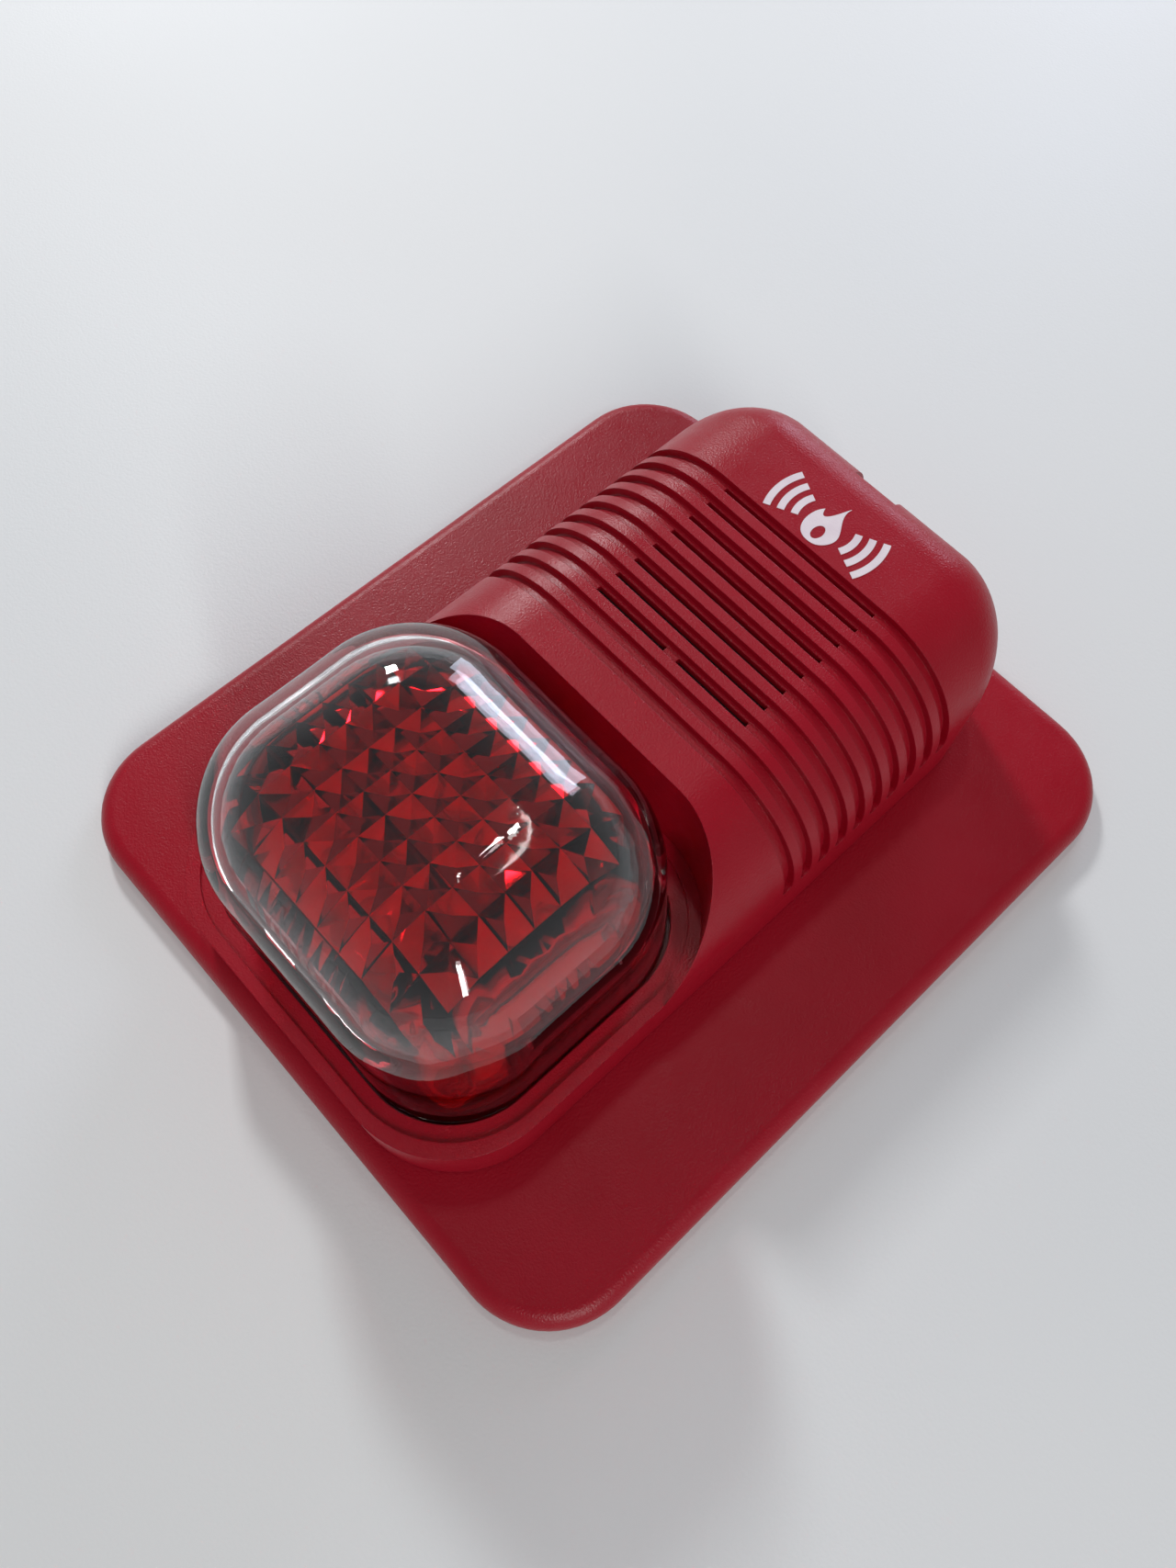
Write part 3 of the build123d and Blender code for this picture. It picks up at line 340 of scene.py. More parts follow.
# Shank below the head, with a raised spiral thread
shank = add_node(
    screw_tree,
    "GeometryNodeMeshCylinder",
    {
        "Radius": share(screw_tree, given["Shank Radius"], SHANK_CORE),
        "Depth": given["Shank Length"],
        "Vertices": 20,
    },
)
lowered = shifted(screw_tree, shank.outputs["Mesh"], share(screw_tree, given["Shank Length"], -0.5))
turn_rise = share(screw_tree, given["Pitch"], 1 / THREADED_PART)
root = share(screw_tree, given["Shank Radius"], THREAD_ROOT)
spiral = add_node(
    screw_tree,
    "GeometryNodeCurveSpiral",
    {
        "Resolution": 14,
        "Rotations": maths(screw_tree, "DIVIDE", given["Shank Length"], turn_rise),
        "Start Radius": root,
        "End Radius": root,
        "Height": share(screw_tree, given["Shank Length"], THREADED_PART),
    },
)
ridge = add_node(
    screw_tree,
    "GeometryNodeCurvePrimitiveCircle",
    {"Resolution": 3, "Radius": share(screw_tree, given["Shank Radius"], THREAD_RIDGE)},
)
thread = add_node(
    screw_tree,
    "GeometryNodeCurveToMesh",
    {"Curve": spiral.outputs[0], "Profile Curve": ridge.outputs[0], "Fill Caps": True},
)
threaded = shifted(screw_tree, thread.outputs[0], share(screw_tree, given["Shank Length"], THREAD_END))
screw = screw_tree.nodes.new("GeometryNodeJoinGeometry")
for part in (recessed, lowered, threaded):
    screw_tree.links.new(part, screw.inputs[0])
turn_to = add_node(screw_tree, "FunctionNodeEulerToRotation", {0: given["Turn"]})
at_seats = add_node(
    screw_tree,
    "GeometryNodeInstanceOnPoints",
    {"Points": given["Geometry"], "Instance": screw.outputs[0], "Rotation": turn_to.outputs[0]},
)
real = add_node(screw_tree, "GeometryNodeRealizeInstances", {"Geometry": at_seats.outputs[0]})
painted = add_node(
    screw_tree, "GeometryNodeSetMaterial", {"Geometry": real.outputs[0], "Material": given["Material"]}
)
screw_tree.links.new(painted.outputs[0], ends_out.inputs[0])

FACING_BACK = (math.pi, 0.0, 0.0)
SHANK_RADIUS = 0.0011
THREAD_PITCH = 0.0008


def screws(name, body, places, seat, head_radius, head_height, length, turn=(0.0, 0.0, 0.0)):
    """A set of like screws whose heads sit on the height seat."""
    values = {
        "Head Radius": head_radius,
        "Head Height": head_height,
        "Shank Radius": SHANK_RADIUS,
        "Shank Length": length,
        "Recess": head_radius * 1.15,
        "Recess Depth": head_height * 0.6,
        "Pitch": THREAD_PITCH,
        "Turn": turn,
        "Material": zinc,
    }
    piece = grown(name + "_set", [(x, y, seat) for x, y in places], screw_tree, values)
    placed(piece, body, "zinc_steel", name)


def corners_of(node, inset_x, inset_y):
    """Four points inset from the corners of a node's box."""
    low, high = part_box(node)
    across = (low[0] + inset_x, high[0] - inset_x)
    along = (low[1] + inset_y, high[1] - inset_y)
    return [(x, y) for x in across for y in along]


BASE_HEAD = 0.0018
screws(
    "base_screws",
    "base",
    corners_of("base_screws", 0.0028, 0.0028),
    seat=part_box("base_screws")[1][2] - BASE_HEAD,
    head_radius=0.0027,
    head_height=BASE_HEAD,
    length=0.0064,
)

# ------------------------------------------------------------------- terminals
# A green four-way block: steel clamp cages with slotted screws take the field
# wires, folded brass sockets behind them take the pins of the head.

green_body = moulded("green polyamide", (0.02, 0.2, 0.07), (0.06, 0.32, 0.14), 0.35, depth=0.00002, highlight_amount=0.4)
brass = plated("rolled brass", (0.72, 0.48, 0.16), (0.6, 0.36, 0.1), 0.28)
dress("terminal_block", green_body)
dress("terminal_clamps", zinc)
dress("terminal_screws", zinc)
dress("socket_contacts", brass)

# -------------------------------------------------------------------- housing
# The head's shell in the same red ABS as the plate: a raised lip round the lens
# well at one end, ten round-ended grooves over the horn half, eight of
# them slotted through. It stays as the model has it, in the red satin finish.

dress("housing", red_satin)

# A generic flame between sound waves, pad-printed in white on the flat
ink, tree, shader = new_material("white pad ink")
skin = add_node(tree, "ShaderNodeGroup", {"Grain Scale": GRAIN}, node_tree=grain_group)
tree.links.new(
    mixed(tree, skin.outputs["Gloss"], (0.78, 0.66, 0.72), (0.86, 0.76, 0.8)), shader.inputs["Base Color"]
)
tree.links.new(ranged(tree, skin.outputs["Tone"], 0.0, 1.0, 0.45, 0.6), shader.inputs["Roughness"])
bumped(tree, shader, skin.outputs["Height"], 0.00003)
dress("symbol_print", ink)

# ----------------------------------------------------------------- clear cover
# A polished dome moulded in clear polycarbonate, 2.5 mm thick. Its flange is
# trapped under the ledge of the lens well, against a red silicone seal.

clear, tree, shader = new_material("clear polycarbonate")
shader.inputs["Transmission Weight"].default_value = 1.0
shader.inputs["IOR"].default_value = 1.04
shader.inputs["Coat Weight"].default_value = 0.75
shader.inputs["Coat IOR"].default_value = 1.55
shader.inputs["Coat Roughness"].default_value = 0.01
haze = noise(tree, 60.0, 3.0)
tree.links.new(mixed(tree, haze, (0.93, 0.94, 0.95), (0.97, 0.975, 0.98)), shader.inputs["Base Color"])
tree.links.new(ranged(tree, haze, 0.35, 0.7, 0.0, 0.02), shader.inputs["Roughness"])


def lets_light_through(tree, shader, tint):
    """Shadow rays pass with a tint, so that light reaches what lies behind."""
    way = tree.nodes.new("ShaderNodeLightPath")
    passing = add_node(tree, "ShaderNodeBsdfTransparent", {"Color": (*tint, 1.0)})
    both = tree.nodes.new("ShaderNodeMixShader")
    tree.links.new(way.outputs["Is Shadow Ray"], both.inputs[0])
    tree.links.new(shader.outputs[0], both.inputs[1])
    tree.links.new(passing.outputs[0], both.inputs[2])
    tree.links.new(both.outputs[0], tree.nodes["Material Output"].inputs["Surface"])


lets_light_through(tree, shader, (0.92, 0.93, 0.93))
dress("clear_lens", clear)

silicone = moulded("red silicone", (0.12, 0.001, 0.004), (0.2, 0.003, 0.01), 0.5, edge=0.0)
dress("lens_gasket", silicone)
dress("lens_retainer", red_satin)

# ---------------------------------------------------------------- red diffuser
# An inner cup in transparent red acrylic, smooth outside, with a field of square
# pyramids inside its top and fluted sides, which break the flash up into glints.

acrylic, tree, shader = new_material("red acrylic")
shader.inputs["Transmission Weight"].default_value = 1.0
shader.inputs["IOR"].default_value = 1.49
streak = noise(tree, 90.0)
tree.links.new(mixed(tree, streak, (0.5, 0.002, 0.006), (0.72, 0.006, 0.01)), shader.inputs["Base Color"])
tree.links.new(ranged(tree, streak, 0.3, 0.7, 0.02, 0.06), shader.inputs["Roughness"])
lets_light_through(tree, shader, (0.5, 0.015, 0.02))

diffuser_low, diffuser_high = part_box("red_lens")
RIM_WIDTH = 0.002
MID_Y = (diffuser_low[1] + diffuser_high[1]) / 2
CUP_X = (diffuser_high[0] - diffuser_low[0]) / 2 - RIM_WIDTH
CUP_Y = (diffuser_high[1] - diffuser_low[1]) / 2 - RIM_WIDTH
CUP_CORNER = 0.0205
CUP_SHOULDER = 0.017
CUP_WALL = 0.002
CUP_FOOT = 0.0011
FOOT_CORNER = 0.0138
PYRAMID_PITCH = 0.0051
PYRAMID_DEPTH = 0.0024
SKIN = 0.0016
SMOOTH_PITCH = 0.0021
EDGE_MARGIN = 0.36
RIM_INSET = 0.0012
FLUTE_DEPTH = 0.0009
FLUTE_FOOT = 0.004
FLUTE_END = 0.0025
SHOULDER_DROP = 0.0004
RING_POINTS = 240


def cup_depth(x, y, inset):
    """Distance in from the cup's outline and the direction out of it, at a place in plan."""
    half_x, half_y, corner = CUP_X - inset, CUP_Y - inset, CUP_CORNER - inset
    in_x, in_y = abs(x) - (half_x - corner), abs(y) - (half_y - corner)
    if in_x > 0.0 and in_y > 0.0:
        away = math.hypot(in_x, in_y)
        return corner - away, (math.copysign(in_x / away, x), math.copysign(in_y / away, y))
    if half_x - abs(x) < half_y - abs(y):
        return half_x - abs(x), (math.copysign(1.0, x), 0.0)
    return half_y - abs(y), (0.0, math.copysign(1.0, y))


def crowned(x, y, inset, top, pushed):
    """Point of the cup's domed top over (x, y), pushed inwards along the normal there."""
    depth, out = cup_depth(x, y, inset)
    if depth < RIM_INSET:
        x, y = x + out[0] * (depth - RIM_INSET), y + out[1] * (depth - RIM_INSET)
        depth, pushed = RIM_INSET, 0.0
    shoulder = CUP_SHOULDER - inset
    lean = max(0.0, (shoulder - depth) / shoulder)
    rise = math.sqrt(1.0 - lean * lean)
    x, y = x - out[0] * lean * pushed, y - out[1] * lean * pushed
    return (x, MID_Y + y, top - shoulder + shoulder * rise - rise * pushed)


def pyramid_field(cup, inset, top, pitch, depth, facing_in=False):
    """Domed sheet of square pyramids; the corners along its open edge are returned."""
    across = int(CUP_X / pitch) + 2
    corners = {}
    for i in range(-across, across + 1):
        for j in range(-across, across + 1):
            x, y = (i - 0.5) * pitch, j * pitch
            near, _ = cup_depth(x + pitch / 2, y + pitch / 2, inset)
            if near < pitch * EDGE_MARGIN:
                continue
            ring = []
            for a, b in ((0, 0), (1, 0), (1, 1), (0, 1)):
                key = (i + a, j + b)
                if key not in corners:
                    corners[key] = cup.verts.new(crowned(x + a * pitch, y + b * pitch, inset, top, depth))
                ring.append(corners[key])
            peak = cup.verts.new(crowned(x + pitch / 2, y + pitch / 2, inset, top, 0.0))
            for k in range(4):
                first, second = ring[k], ring[(k + 1) % 4]
                cup.faces.new((second, first, peak) if facing_in else (first, second, peak))
    return [corner for corner in corners.values() if corner.is_boundary]


def wall_ring(cup, grow, corner, z, flute=0.0):
    """Ring of the cup's wall at a height, its straights fluted by the given depth."""
    ring = []
    half_x, half_y = CUP_X + grow, CUP_Y + grow
    straight_x, straight_y, quarter = half_x - corner, half_y - corner, corner * math.pi / 2
    total = 4 * (straight_x + straight_y + quarter)
    for k in range(RING_POINTS):
        run = total * k / RING_POINTS
        for side in range(4):
            straight = 2 * (straight_y if side % 2 == 0 else straight_x)
            if run < straight:
                wave = max(0.0, math.cos(2 * math.pi * (run - straight / 2) / (PYRAMID_PITCH / 2))) ** 3
                along, out = run - straight / 2, (half_x if side % 2 == 0 else half_y) - flute * wave
                break
            run -= straight
            if run < quarter:
                angle = run / corner
                along = (straight_y if side % 2 == 0 else straight_x) + corner * math.sin(angle)
                out = (straight_x if side % 2 == 0 else straight_y) + corner * math.cos(angle)
                break
            run -= quarter
        turn = side * math.pi / 2
        x = out * math.cos(turn) - along * math.sin(turn)
        y = out * math.sin(turn) + along * math.cos(turn)
        ring.append(cup.verts.new((x, MID_Y + y, z)))
    return ring


def bearing(corner):
    """Angle of a corner round the cup's axis."""
    return math.atan2(corner.co.y - MID_Y, corner.co.x)


def stitch(cup, upper, lower):
    """Band of triangles between two rings of any counts, facing out where upper is above lower."""
    upper, lower = sorted(upper, key=bearing), sorted(lower, key=bearing)
    i = j = 0
    while i < len(upper) or j < len(lower):
        over, under = upper[i % len(upper)], lower[j % len(lower)]
        next_over, next_under = upper[(i + 1) % len(upper)], lower[(j + 1) % len(lower)]
        far_over = bearing(next_over) + (2 * math.pi if i + 1 >= len(upper) else 0.0)
        far_under = bearing(next_under) + (2 * math.pi if j + 1 >= len(lower) else 0.0)
        if j < len(lower) and (i >= len(upper) or far_under <= far_over):
            cup.faces.new((under, next_under, over))
            j += 1
        else:
            cup.faces.new((under, next_over, over))
            i += 1


cup = bmesh.new()
foot = diffuser_low[2]
top = diffuser_high[2]
outer_edge = pyramid_field(cup, 0.0, top, SMOOTH_PITCH, 0.0)
peaks = PYRAMID_DEPTH + SKIN
inner_edge = pyramid_field(cup, peaks, top - peaks, PYRAMID_PITCH, -PYRAMID_DEPTH, facing_in=True)
rings = [
    outer_edge,
    wall_ring(cup, 0.0, CUP_CORNER, top - CUP_SHOULDER - SHOULDER_DROP, FLUTE_DEPTH),
    wall_ring(cup, 0.0, FOOT_CORNER, foot + FLUTE_FOOT, FLUTE_DEPTH),
    wall_ring(cup, 0.0, FOOT_CORNER, foot + FLUTE_END),
    wall_ring(cup, 0.0, FOOT_CORNER, foot + CUP_FOOT),
    wall_ring(cup, RIM_WIDTH, FOOT_CORNER + RIM_WIDTH, foot + CUP_FOOT),
    wall_ring(cup, RIM_WIDTH, FOOT_CORNER + RIM_WIDTH, foot),
    wall_ring(cup, -CUP_WALL, FOOT_CORNER - CUP_WALL, foot),
    wall_ring(cup, -CUP_WALL, CUP_CORNER - CUP_WALL, top - CUP_SHOULDER - CUP_WALL),
    inner_edge,
]
for upper, lower in zip(rings, rings[1:]):
    stitch(cup, upper, lower)
cup_mesh = bpy.data.meshes.new("prismatic diffuser")
cup.to_mesh(cup_mesh)
cup.free()
cup_mesh.materials.append(acrylic)
cup_mesh.shade_smooth()
cup_mesh.set_sharp_from_angle(angle=math.radians(22.0))
diffuser = bpy.data.objects.new("prismatic_diffuser", cup_mesh)
bpy.context.scene.collection.objects.link(diffuser)
placed(diffuser, "head", "red_acrylic", "red_lens")

# ----------------------------------------------------------------- strobe deck
# White board with twelve flash diodes, and over it a glossy white block with a
# conical cup round each diode, held to posts of the rear cover by four screws.

white_gloss = moulded("white gloss plastic", (0.74, 0.74, 0.7), (0.82, 0.82, 0.79), 0.22, depth=0.000008, highlight_amount=0.2)
dress("reflector", white_gloss)

board_group, ends_in, ends_out = shader_group(
    "etched board",
    [("Track Scale", 260.0)],
    [("Tracks", "NodeSocketFloat"), ("Pads", "NodeSocketFloat")],
)
place = board_group.nodes.new("ShaderNodeTexCoord").outputs["Object"]
rows = add_node(board_group, "ShaderNodeTexBrick", {"Vector": place, "Mortar Size": 0.035, "Mortar Smooth": 0.1})
board_group.links.new(ends_in.outputs["Track Scale"], rows.inputs["Scale"])
dots = add_node(board_group, "ShaderNodeTexVoronoi", {"Vector": place, "Randomness": 0.75})
board_group.links.new(maths(board_group, "MULTIPLY", ends_in.outputs["Track Scale"], 1.4), dots.inputs["Scale"])
board_group.links.new(rows.outputs["Fac"], ends_out.inputs["Tracks"])
board_group.links.new(ranged(board_group, dots.outputs["Distance"], 0.2, 0.16, 0.0, 1.0), ends_out.inputs["Pads"])


def board(name, resist, track, metal):
    """Circuit board: tinned pads and tracks under coloured solder resist."""
    material, tree, shader = new_material(name)
    etched = add_node(tree, "ShaderNodeGroup", node_tree=board_group)
    lined = mixed(tree, etched.outputs["Tracks"], resist, track)
    tree.links.new(mixed(tree, etched.outputs["Pads"], lined, metal), shader.inputs["Base Color"])
    tree.links.new(etched.outputs["Pads"], shader.inputs["Metallic"])
    tree.links.new(ranged(tree, etched.outputs["Tracks"], 0.0, 1.0, 0.3, 0.4), shader.inputs["Roughness"])
    raised = maths(tree, "ADD", etched.outputs["Tracks"], etched.outputs["Pads"])
    bumped(tree, shader, raised, 0.00004)
    return material


dress("led_board", board("white resist board", (0.72, 0.73, 0.7), (0.82, 0.82, 0.8), (0.6, 0.58, 0.52)))

phosphor, tree, shader = new_material("yellow phosphor")
cloud = noise(tree, 1500.0, 3.0)
tree.links.new(mixed(tree, cloud, (0.75, 0.55, 0.08), (0.85, 0.68, 0.2)), shader.inputs["Base Color"])
tree.links.new(ranged(tree, cloud, 0.3, 0.7, 0.15, 0.3), shader.inputs["Roughness"])
shader.inputs["Coat Weight"].default_value = 0.6



def assembled(tree, given, ends_out, *parts):
    """Set parts on every point, joined; each part is a shape and the input that holds its finish."""
    whole = tree.nodes.new("GeometryNodeJoinGeometry")
    for shape, finish in parts:
        painted = add_node(tree, "GeometryNodeSetMaterial", {"Geometry": shape, "Material": given[finish]})
        tree.links.new(painted.outputs[0], whole.inputs[0])
    spread = add_node(
        tree, "GeometryNodeInstanceOnPoints", {"Points": given["Geometry"], "Instance": whole.outputs[0]}
    )
    real = add_node(tree, "GeometryNodeRealizeInstances", {"Geometry": spread.outputs[0]})
    tree.links.new(real.outputs[0], ends_out.inputs[0])


led_tree, ends_in, ends_out = geometry_tree("flash diodes", ("Side", "Height"), ("Package", "Phosphor"))
given = ends_in.outputs
package_height = share(led_tree, given["Height"], 0.55)
size = add_node(led_tree, "ShaderNodeCombineXYZ", {"X": given["Side"], "Y": given["Side"], "Z": package_height})
block = add_node(led_tree, "GeometryNodeMeshCube", {"Size": size.outputs[0]})
block_up = shifted(led_tree, block.outputs["Mesh"], share(led_tree, given["Height"], 0.275))
dome = add_node(
    led_tree,
    "GeometryNodeMeshUVSphere",
    {"Segments": 20, "Rings": 10, "Radius": share(led_tree, given["Side"], 0.42)},
)
flat = add_node(
    led_tree, "GeometryNodeTransform", {"Geometry": dome.outputs["Mesh"], "Scale": (1.0, 1.0, 0.36)}
)
dome_up = shifted(led_tree, flat.outputs[0], share(led_tree, given["Height"], 0.52))
assembled(led_tree, given, ends_out, (block_up, "Package"), (dome_up, "Phosphor"))

LED_SIDE = 0.0046
led_low, led_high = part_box("strobe_leds")
column_gap = (led_high[0] - led_low[0] - LED_SIDE) / 3
row_gap = (led_high[1] - led_low[1] - LED_SIDE) / 2
led_columns = [led_low[0] + LED_SIDE / 2 + i * column_gap for i in range(4)]
led_rows = [led_low[1] + LED_SIDE / 2 + i * row_gap for i in range(3)]
diodes = grown(
    "flash_diodes",
    [(x, y, led_low[2]) for x in led_columns for y in led_rows],
    led_tree,
    {"Side": LED_SIDE, "Height": led_high[2] - led_low[2], "Package": white_gloss, "Phosphor": phosphor},
)
placed(diodes, "head", "led_package", "strobe_leds")
SMALL_HEAD = 0.0015
SMALL_HEAD_RADIUS = 0.0021
screws(
    "led_screws",
    "head",
    corners_of("led_screws", 0.0022, 0.0022),
    seat=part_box("led_screws")[1][2] - SMALL_HEAD,
    head_radius=SMALL_HEAD_RADIUS,
    head_height=SMALL_HEAD,
    length=0.0047,
)

# ----------------------------------------------------------------- rear cover
# Black ABS lid of the head, 2 mm thick, with windows for the plug and the two
# setting switches and a cage for the captive nut. Four screws hold it.

dress("rear_cover", black_matt)
cover_low, cover_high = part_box("cover_screws")
COVER_INSET = 0.0026
STROBE_END_X, HORN_END_X = 0.0335, 0.028
cover_places = [(side * STROBE_END_X, cover_low[1] + COVER_INSET) for side in (-1, 1)]
cover_places += [(side * HORN_END_X, cover_high[1] - COVER_INSET) for side in (-1, 1)]
screws(
    "cover_screws",
    "head",
    cover_places,
    seat=cover_low[2] + 0.0011,
    head_radius=0.0025,
    head_height=0.001,
    length=0.0086,
    turn=FACING_BACK,
)

# --------------------------------------------------------------------- sounder
# A brass disc with a white ceramic face rings in a black cup behind the slots,
# under a woven dust screen. A ring clamps the disc, two screws hold the cup.

weave, tree, shader = new_material("woven dust screen")
place = tree.nodes.new("ShaderNodeTexCoord").outputs["Object"]
THREAD_COUNT = 420.0
warp = add_node(tree, "ShaderNodeTexWave", {"Vector": place, "Scale": THREAD_COUNT}, bands_direction="X")
weft = add_node(tree, "ShaderNodeTexWave", {"Vector": place, "Scale": THREAD_COUNT}, bands_direction="Y")
cloth = maths(tree, "MULTIPLY", warp.outputs[1], weft.outputs[1])
tree.links.new(mixed(tree, cloth, (0.004, 0.004, 0.005), (0.03, 0.03, 0.032)), shader.inputs["Base Color"])
tree.links.new(ranged(tree, cloth, 0.0, 1.0, 0.9, 0.6), shader.inputs["Roughness"])
bumped(tree, shader, cloth, 0.0001)
dress("dust_mesh", weave)
dress("horn_chamber", black_matt)
dress("piezo_ring", black_matt)
dress("piezo_plate", brass)
ceramic = moulded("silvered ceramic", (0.6, 0.58, 0.52), (0.74, 0.72, 0.68), 0.3, grain=1800.0, edge=0.0)
dress("piezo_ceramic", ceramic)
ear_low, ear_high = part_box("chamber_screws")
EAR_INSET = 0.0022
ear_y = (ear_low[1] + ear_high[1]) / 2
screws(
    "chamber_screws",
    "head",
    [(ear_low[0] + EAR_INSET, ear_y), (ear_high[0] - EAR_INSET, ear_y)],
    seat=ear_low[2] + SMALL_HEAD,
    head_radius=SMALL_HEAD_RADIUS,
    head_height=SMALL_HEAD,
    length=0.0041,
    turn=FACING_BACK,
)

# ----------------------------------------------------------------- driver board
# Green glass-epoxy board between the plug and the sounder: two sleeved
# capacitors, a step-up coil, a controller chip and four power transistors.

dress("main_board", board("green resist board", (0.01, 0.12, 0.035), (0.03, 0.2, 0.06), (0.62, 0.6, 0.55)))
dress("pin_header", black_matt)
dress("plug_pins", brass)
BOARD_HEAD = 0.0016
screws(
    "board_screws",
    "head",
    corners_of("board_screws", 0.0023, 0.0023),
    seat=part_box("board_screws")[0][2] + BOARD_HEAD,
    head_radius=0.0022,
    head_height=BOARD_HEAD,
    length=0.0084,
    turn=FACING_BACK,
)

sleeve, tree, shader = new_material("capacitor sleeve")
place = tree.nodes.new("ShaderNodeTexCoord").outputs["Object"]
height = add_node(tree, "ShaderNodeSeparateXYZ", {0: place}).outputs["Z"]
can_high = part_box("capacitors")[1][2]
SLEEVE_LIP = 0.0006
bare = ranged(tree, height, can_high - SLEEVE_LIP, can_high - SLEEVE_LIP + 0.0001, 0.0, 1.0)
fuzz = noise(tree, 800.0)
dark = mixed(tree, fuzz, (0.015, 0.017, 0.03), (0.03, 0.032, 0.05))
tree.links.new(mixed(tree, bare, dark, (0.7, 0.7, 0.72)), shader.inputs["Base Color"])
tree.links.new(bare, shader.inputs["Metallic"])
tree.links.new(ranged(tree, fuzz, 0.3, 0.7, 0.25, 0.4), shader.inputs["Roughness"])
dress("capacitors", sleeve)

epoxy = moulded("black epoxy", (0.012, 0.012, 0.013), (0.035, 0.035, 0.036), 0.45, grain=3500.0)
leg_tree, ends_in, ends_out = geometry_tree(
    "leaded packages", ("Length", "Width", "Height", "Legs", "Leg Width"), ("Body", "Lead")
)
given = ends_in.outputs
slab_size = {
    "X": share(leg_tree, given["Width"], 0.74),
    "Y": given["Length"],
    "Z": share(leg_tree, given["Height"], 0.86),
}
size = add_node(leg_tree, "ShaderNodeCombineXYZ", slab_size)
slab = add_node(leg_tree, "GeometryNodeMeshCube", {"Size": size.outputs[0]})
slab_up = shifted(leg_tree, slab.outputs["Mesh"], share(leg_tree, given["Height"], 0.57))
leg_height = share(leg_tree, given["Height"], 0.12)
size = add_node(leg_tree, "ShaderNodeCombineXYZ", {"X": given["Width"], "Y": given["Leg Width"], "Z": leg_height})
leg = add_node(leg_tree, "GeometryNodeMeshCube", {"Size": size.outputs[0]})
leg_up = shifted(leg_tree, leg.outputs["Mesh"], share(leg_tree, given["Height"], 0.06))
gaps = maths(leg_tree, "SUBTRACT", given["Legs"], 1.0)
run = share(leg_tree, given["Length"], 0.8)
step = add_node(leg_tree, "ShaderNodeCombineXYZ", {"Y": maths(leg_tree, "DIVIDE", run, gaps)})
first = add_node(leg_tree, "ShaderNodeCombineXYZ", {"Y": share(leg_tree, run, -0.5)})
line = add_node(
    leg_tree,
    "GeometryNodeMeshLine",
    {"Count": given["Legs"], "Start Location": first.outputs[0], "Offset": step.outputs[0]},
)
legs = add_node(leg_tree, "GeometryNodeInstanceOnPoints", {"Points": line.outputs[0], "Instance": leg_up})
assembled(leg_tree, given, ends_out, (slab_up, "Body"), (legs.outputs[0], "Lead"))

LEG_WIDTH = 0.0005


def packages(name, node, places, width, length, legs):
    """Black packages with flat leads on the board, inside the node's height."""
    low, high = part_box(node)
    values = {"Length": length, "Width": width, "Height": high[2] - low[2], "Legs": float(legs)}
    values.update({"Leg Width": LEG_WIDTH, "Body": epoxy, "Lead": zinc})
    piece = grown(name, [(x, y, low[2]) for x, y in places], leg_tree, values)
    placed(piece, "head", "black_epoxy", node)


chip_low, chip_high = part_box("controller_chip")
chip_centre = ((chip_low[0] + chip_high[0]) / 2, (chip_low[1] + chip_high[1]) / 2)
chip_width, chip_length = chip_high[0] - chip_low[0], chip_high[1] - chip_low[1]
packages("chip_package", "controller_chip", [chip_centre], chip_width, chip_length, 7)
TRANSISTOR_WIDTH, TRANSISTOR_LENGTH = 0.0046, 0.006
transistor_places = corners_of("power_transistors", TRANSISTOR_WIDTH / 2, TRANSISTOR_LENGTH / 2)
packages(
    "transistor_packages", "power_transistors", transistor_places, TRANSISTOR_WIDTH, TRANSISTOR_LENGTH, 3
)

# Step-up coil: enamelled wire in stacked turns on a dark ferrite bobbin
copper, tree, shader = new_material("enamelled copper")
shader.inputs["Metallic"].default_value = 0.9
cloud = noise(tree, 400.0)
tree.links.new(mixed(tree, cloud, (0.5, 0.13, 0.03), (0.68, 0.24, 0.07)), shader.inputs["Base Color"])
tree.links.new(ranged(tree, cloud, 0.3, 0.7, 0.2, 0.35), shader.inputs["Roughness"])
coil_tree, ends_in, ends_out = geometry_tree("wound bobbin", ("Radius", "Height", "Wire"), ("Ferrite", "Copper"))
given = ends_in.outputs
flange = add_node(
    coil_tree,
    "GeometryNodeMeshCylinder",
    {"Radius": given["Radius"], "Depth": share(coil_tree, given["Height"], 0.14), "Vertices": 32},
)
core = add_node(
    coil_tree,
    "GeometryNodeMeshCylinder",
    {
        "Radius": share(coil_tree, given["Radius"], 0.7),
        "Depth": share(coil_tree, given["Height"], 0.8),
        "Vertices": 24,
    },
)
ferrite = coil_tree.nodes.new("GeometryNodeJoinGeometry")
for shape, level in ((flange, 0.07), (flange, 0.93), (core, 0.5)):
    lifted = shifted(coil_tree, shape.outputs["Mesh"], share(coil_tree, given["Height"], level))
    coil_tree.links.new(lifted, ferrite.inputs[0])
loop = add_node(
    coil_tree,
    "GeometryNodeCurvePrimitiveCircle",
    {"Resolution": 36, "Radius": share(coil_tree, given["Radius"], 0.8)},
)
round_wire = add_node(coil_tree, "GeometryNodeCurvePrimitiveCircle", {"Resolution": 8, "Radius": given["Wire"]})
turn_shape = add_node(
    coil_tree, "GeometryNodeCurveToMesh", {"Curve": loop.outputs[0], "Profile Curve": round_wire.outputs[0]}
)
wire_width = share(coil_tree, given["Wire"], 2.0)
low_turn = add_node(coil_tree, "ShaderNodeCombineXYZ", {"Z": share(coil_tree, given["Height"], 0.17)})
rise = add_node(coil_tree, "ShaderNodeCombineXYZ", {"Z": wire_width})
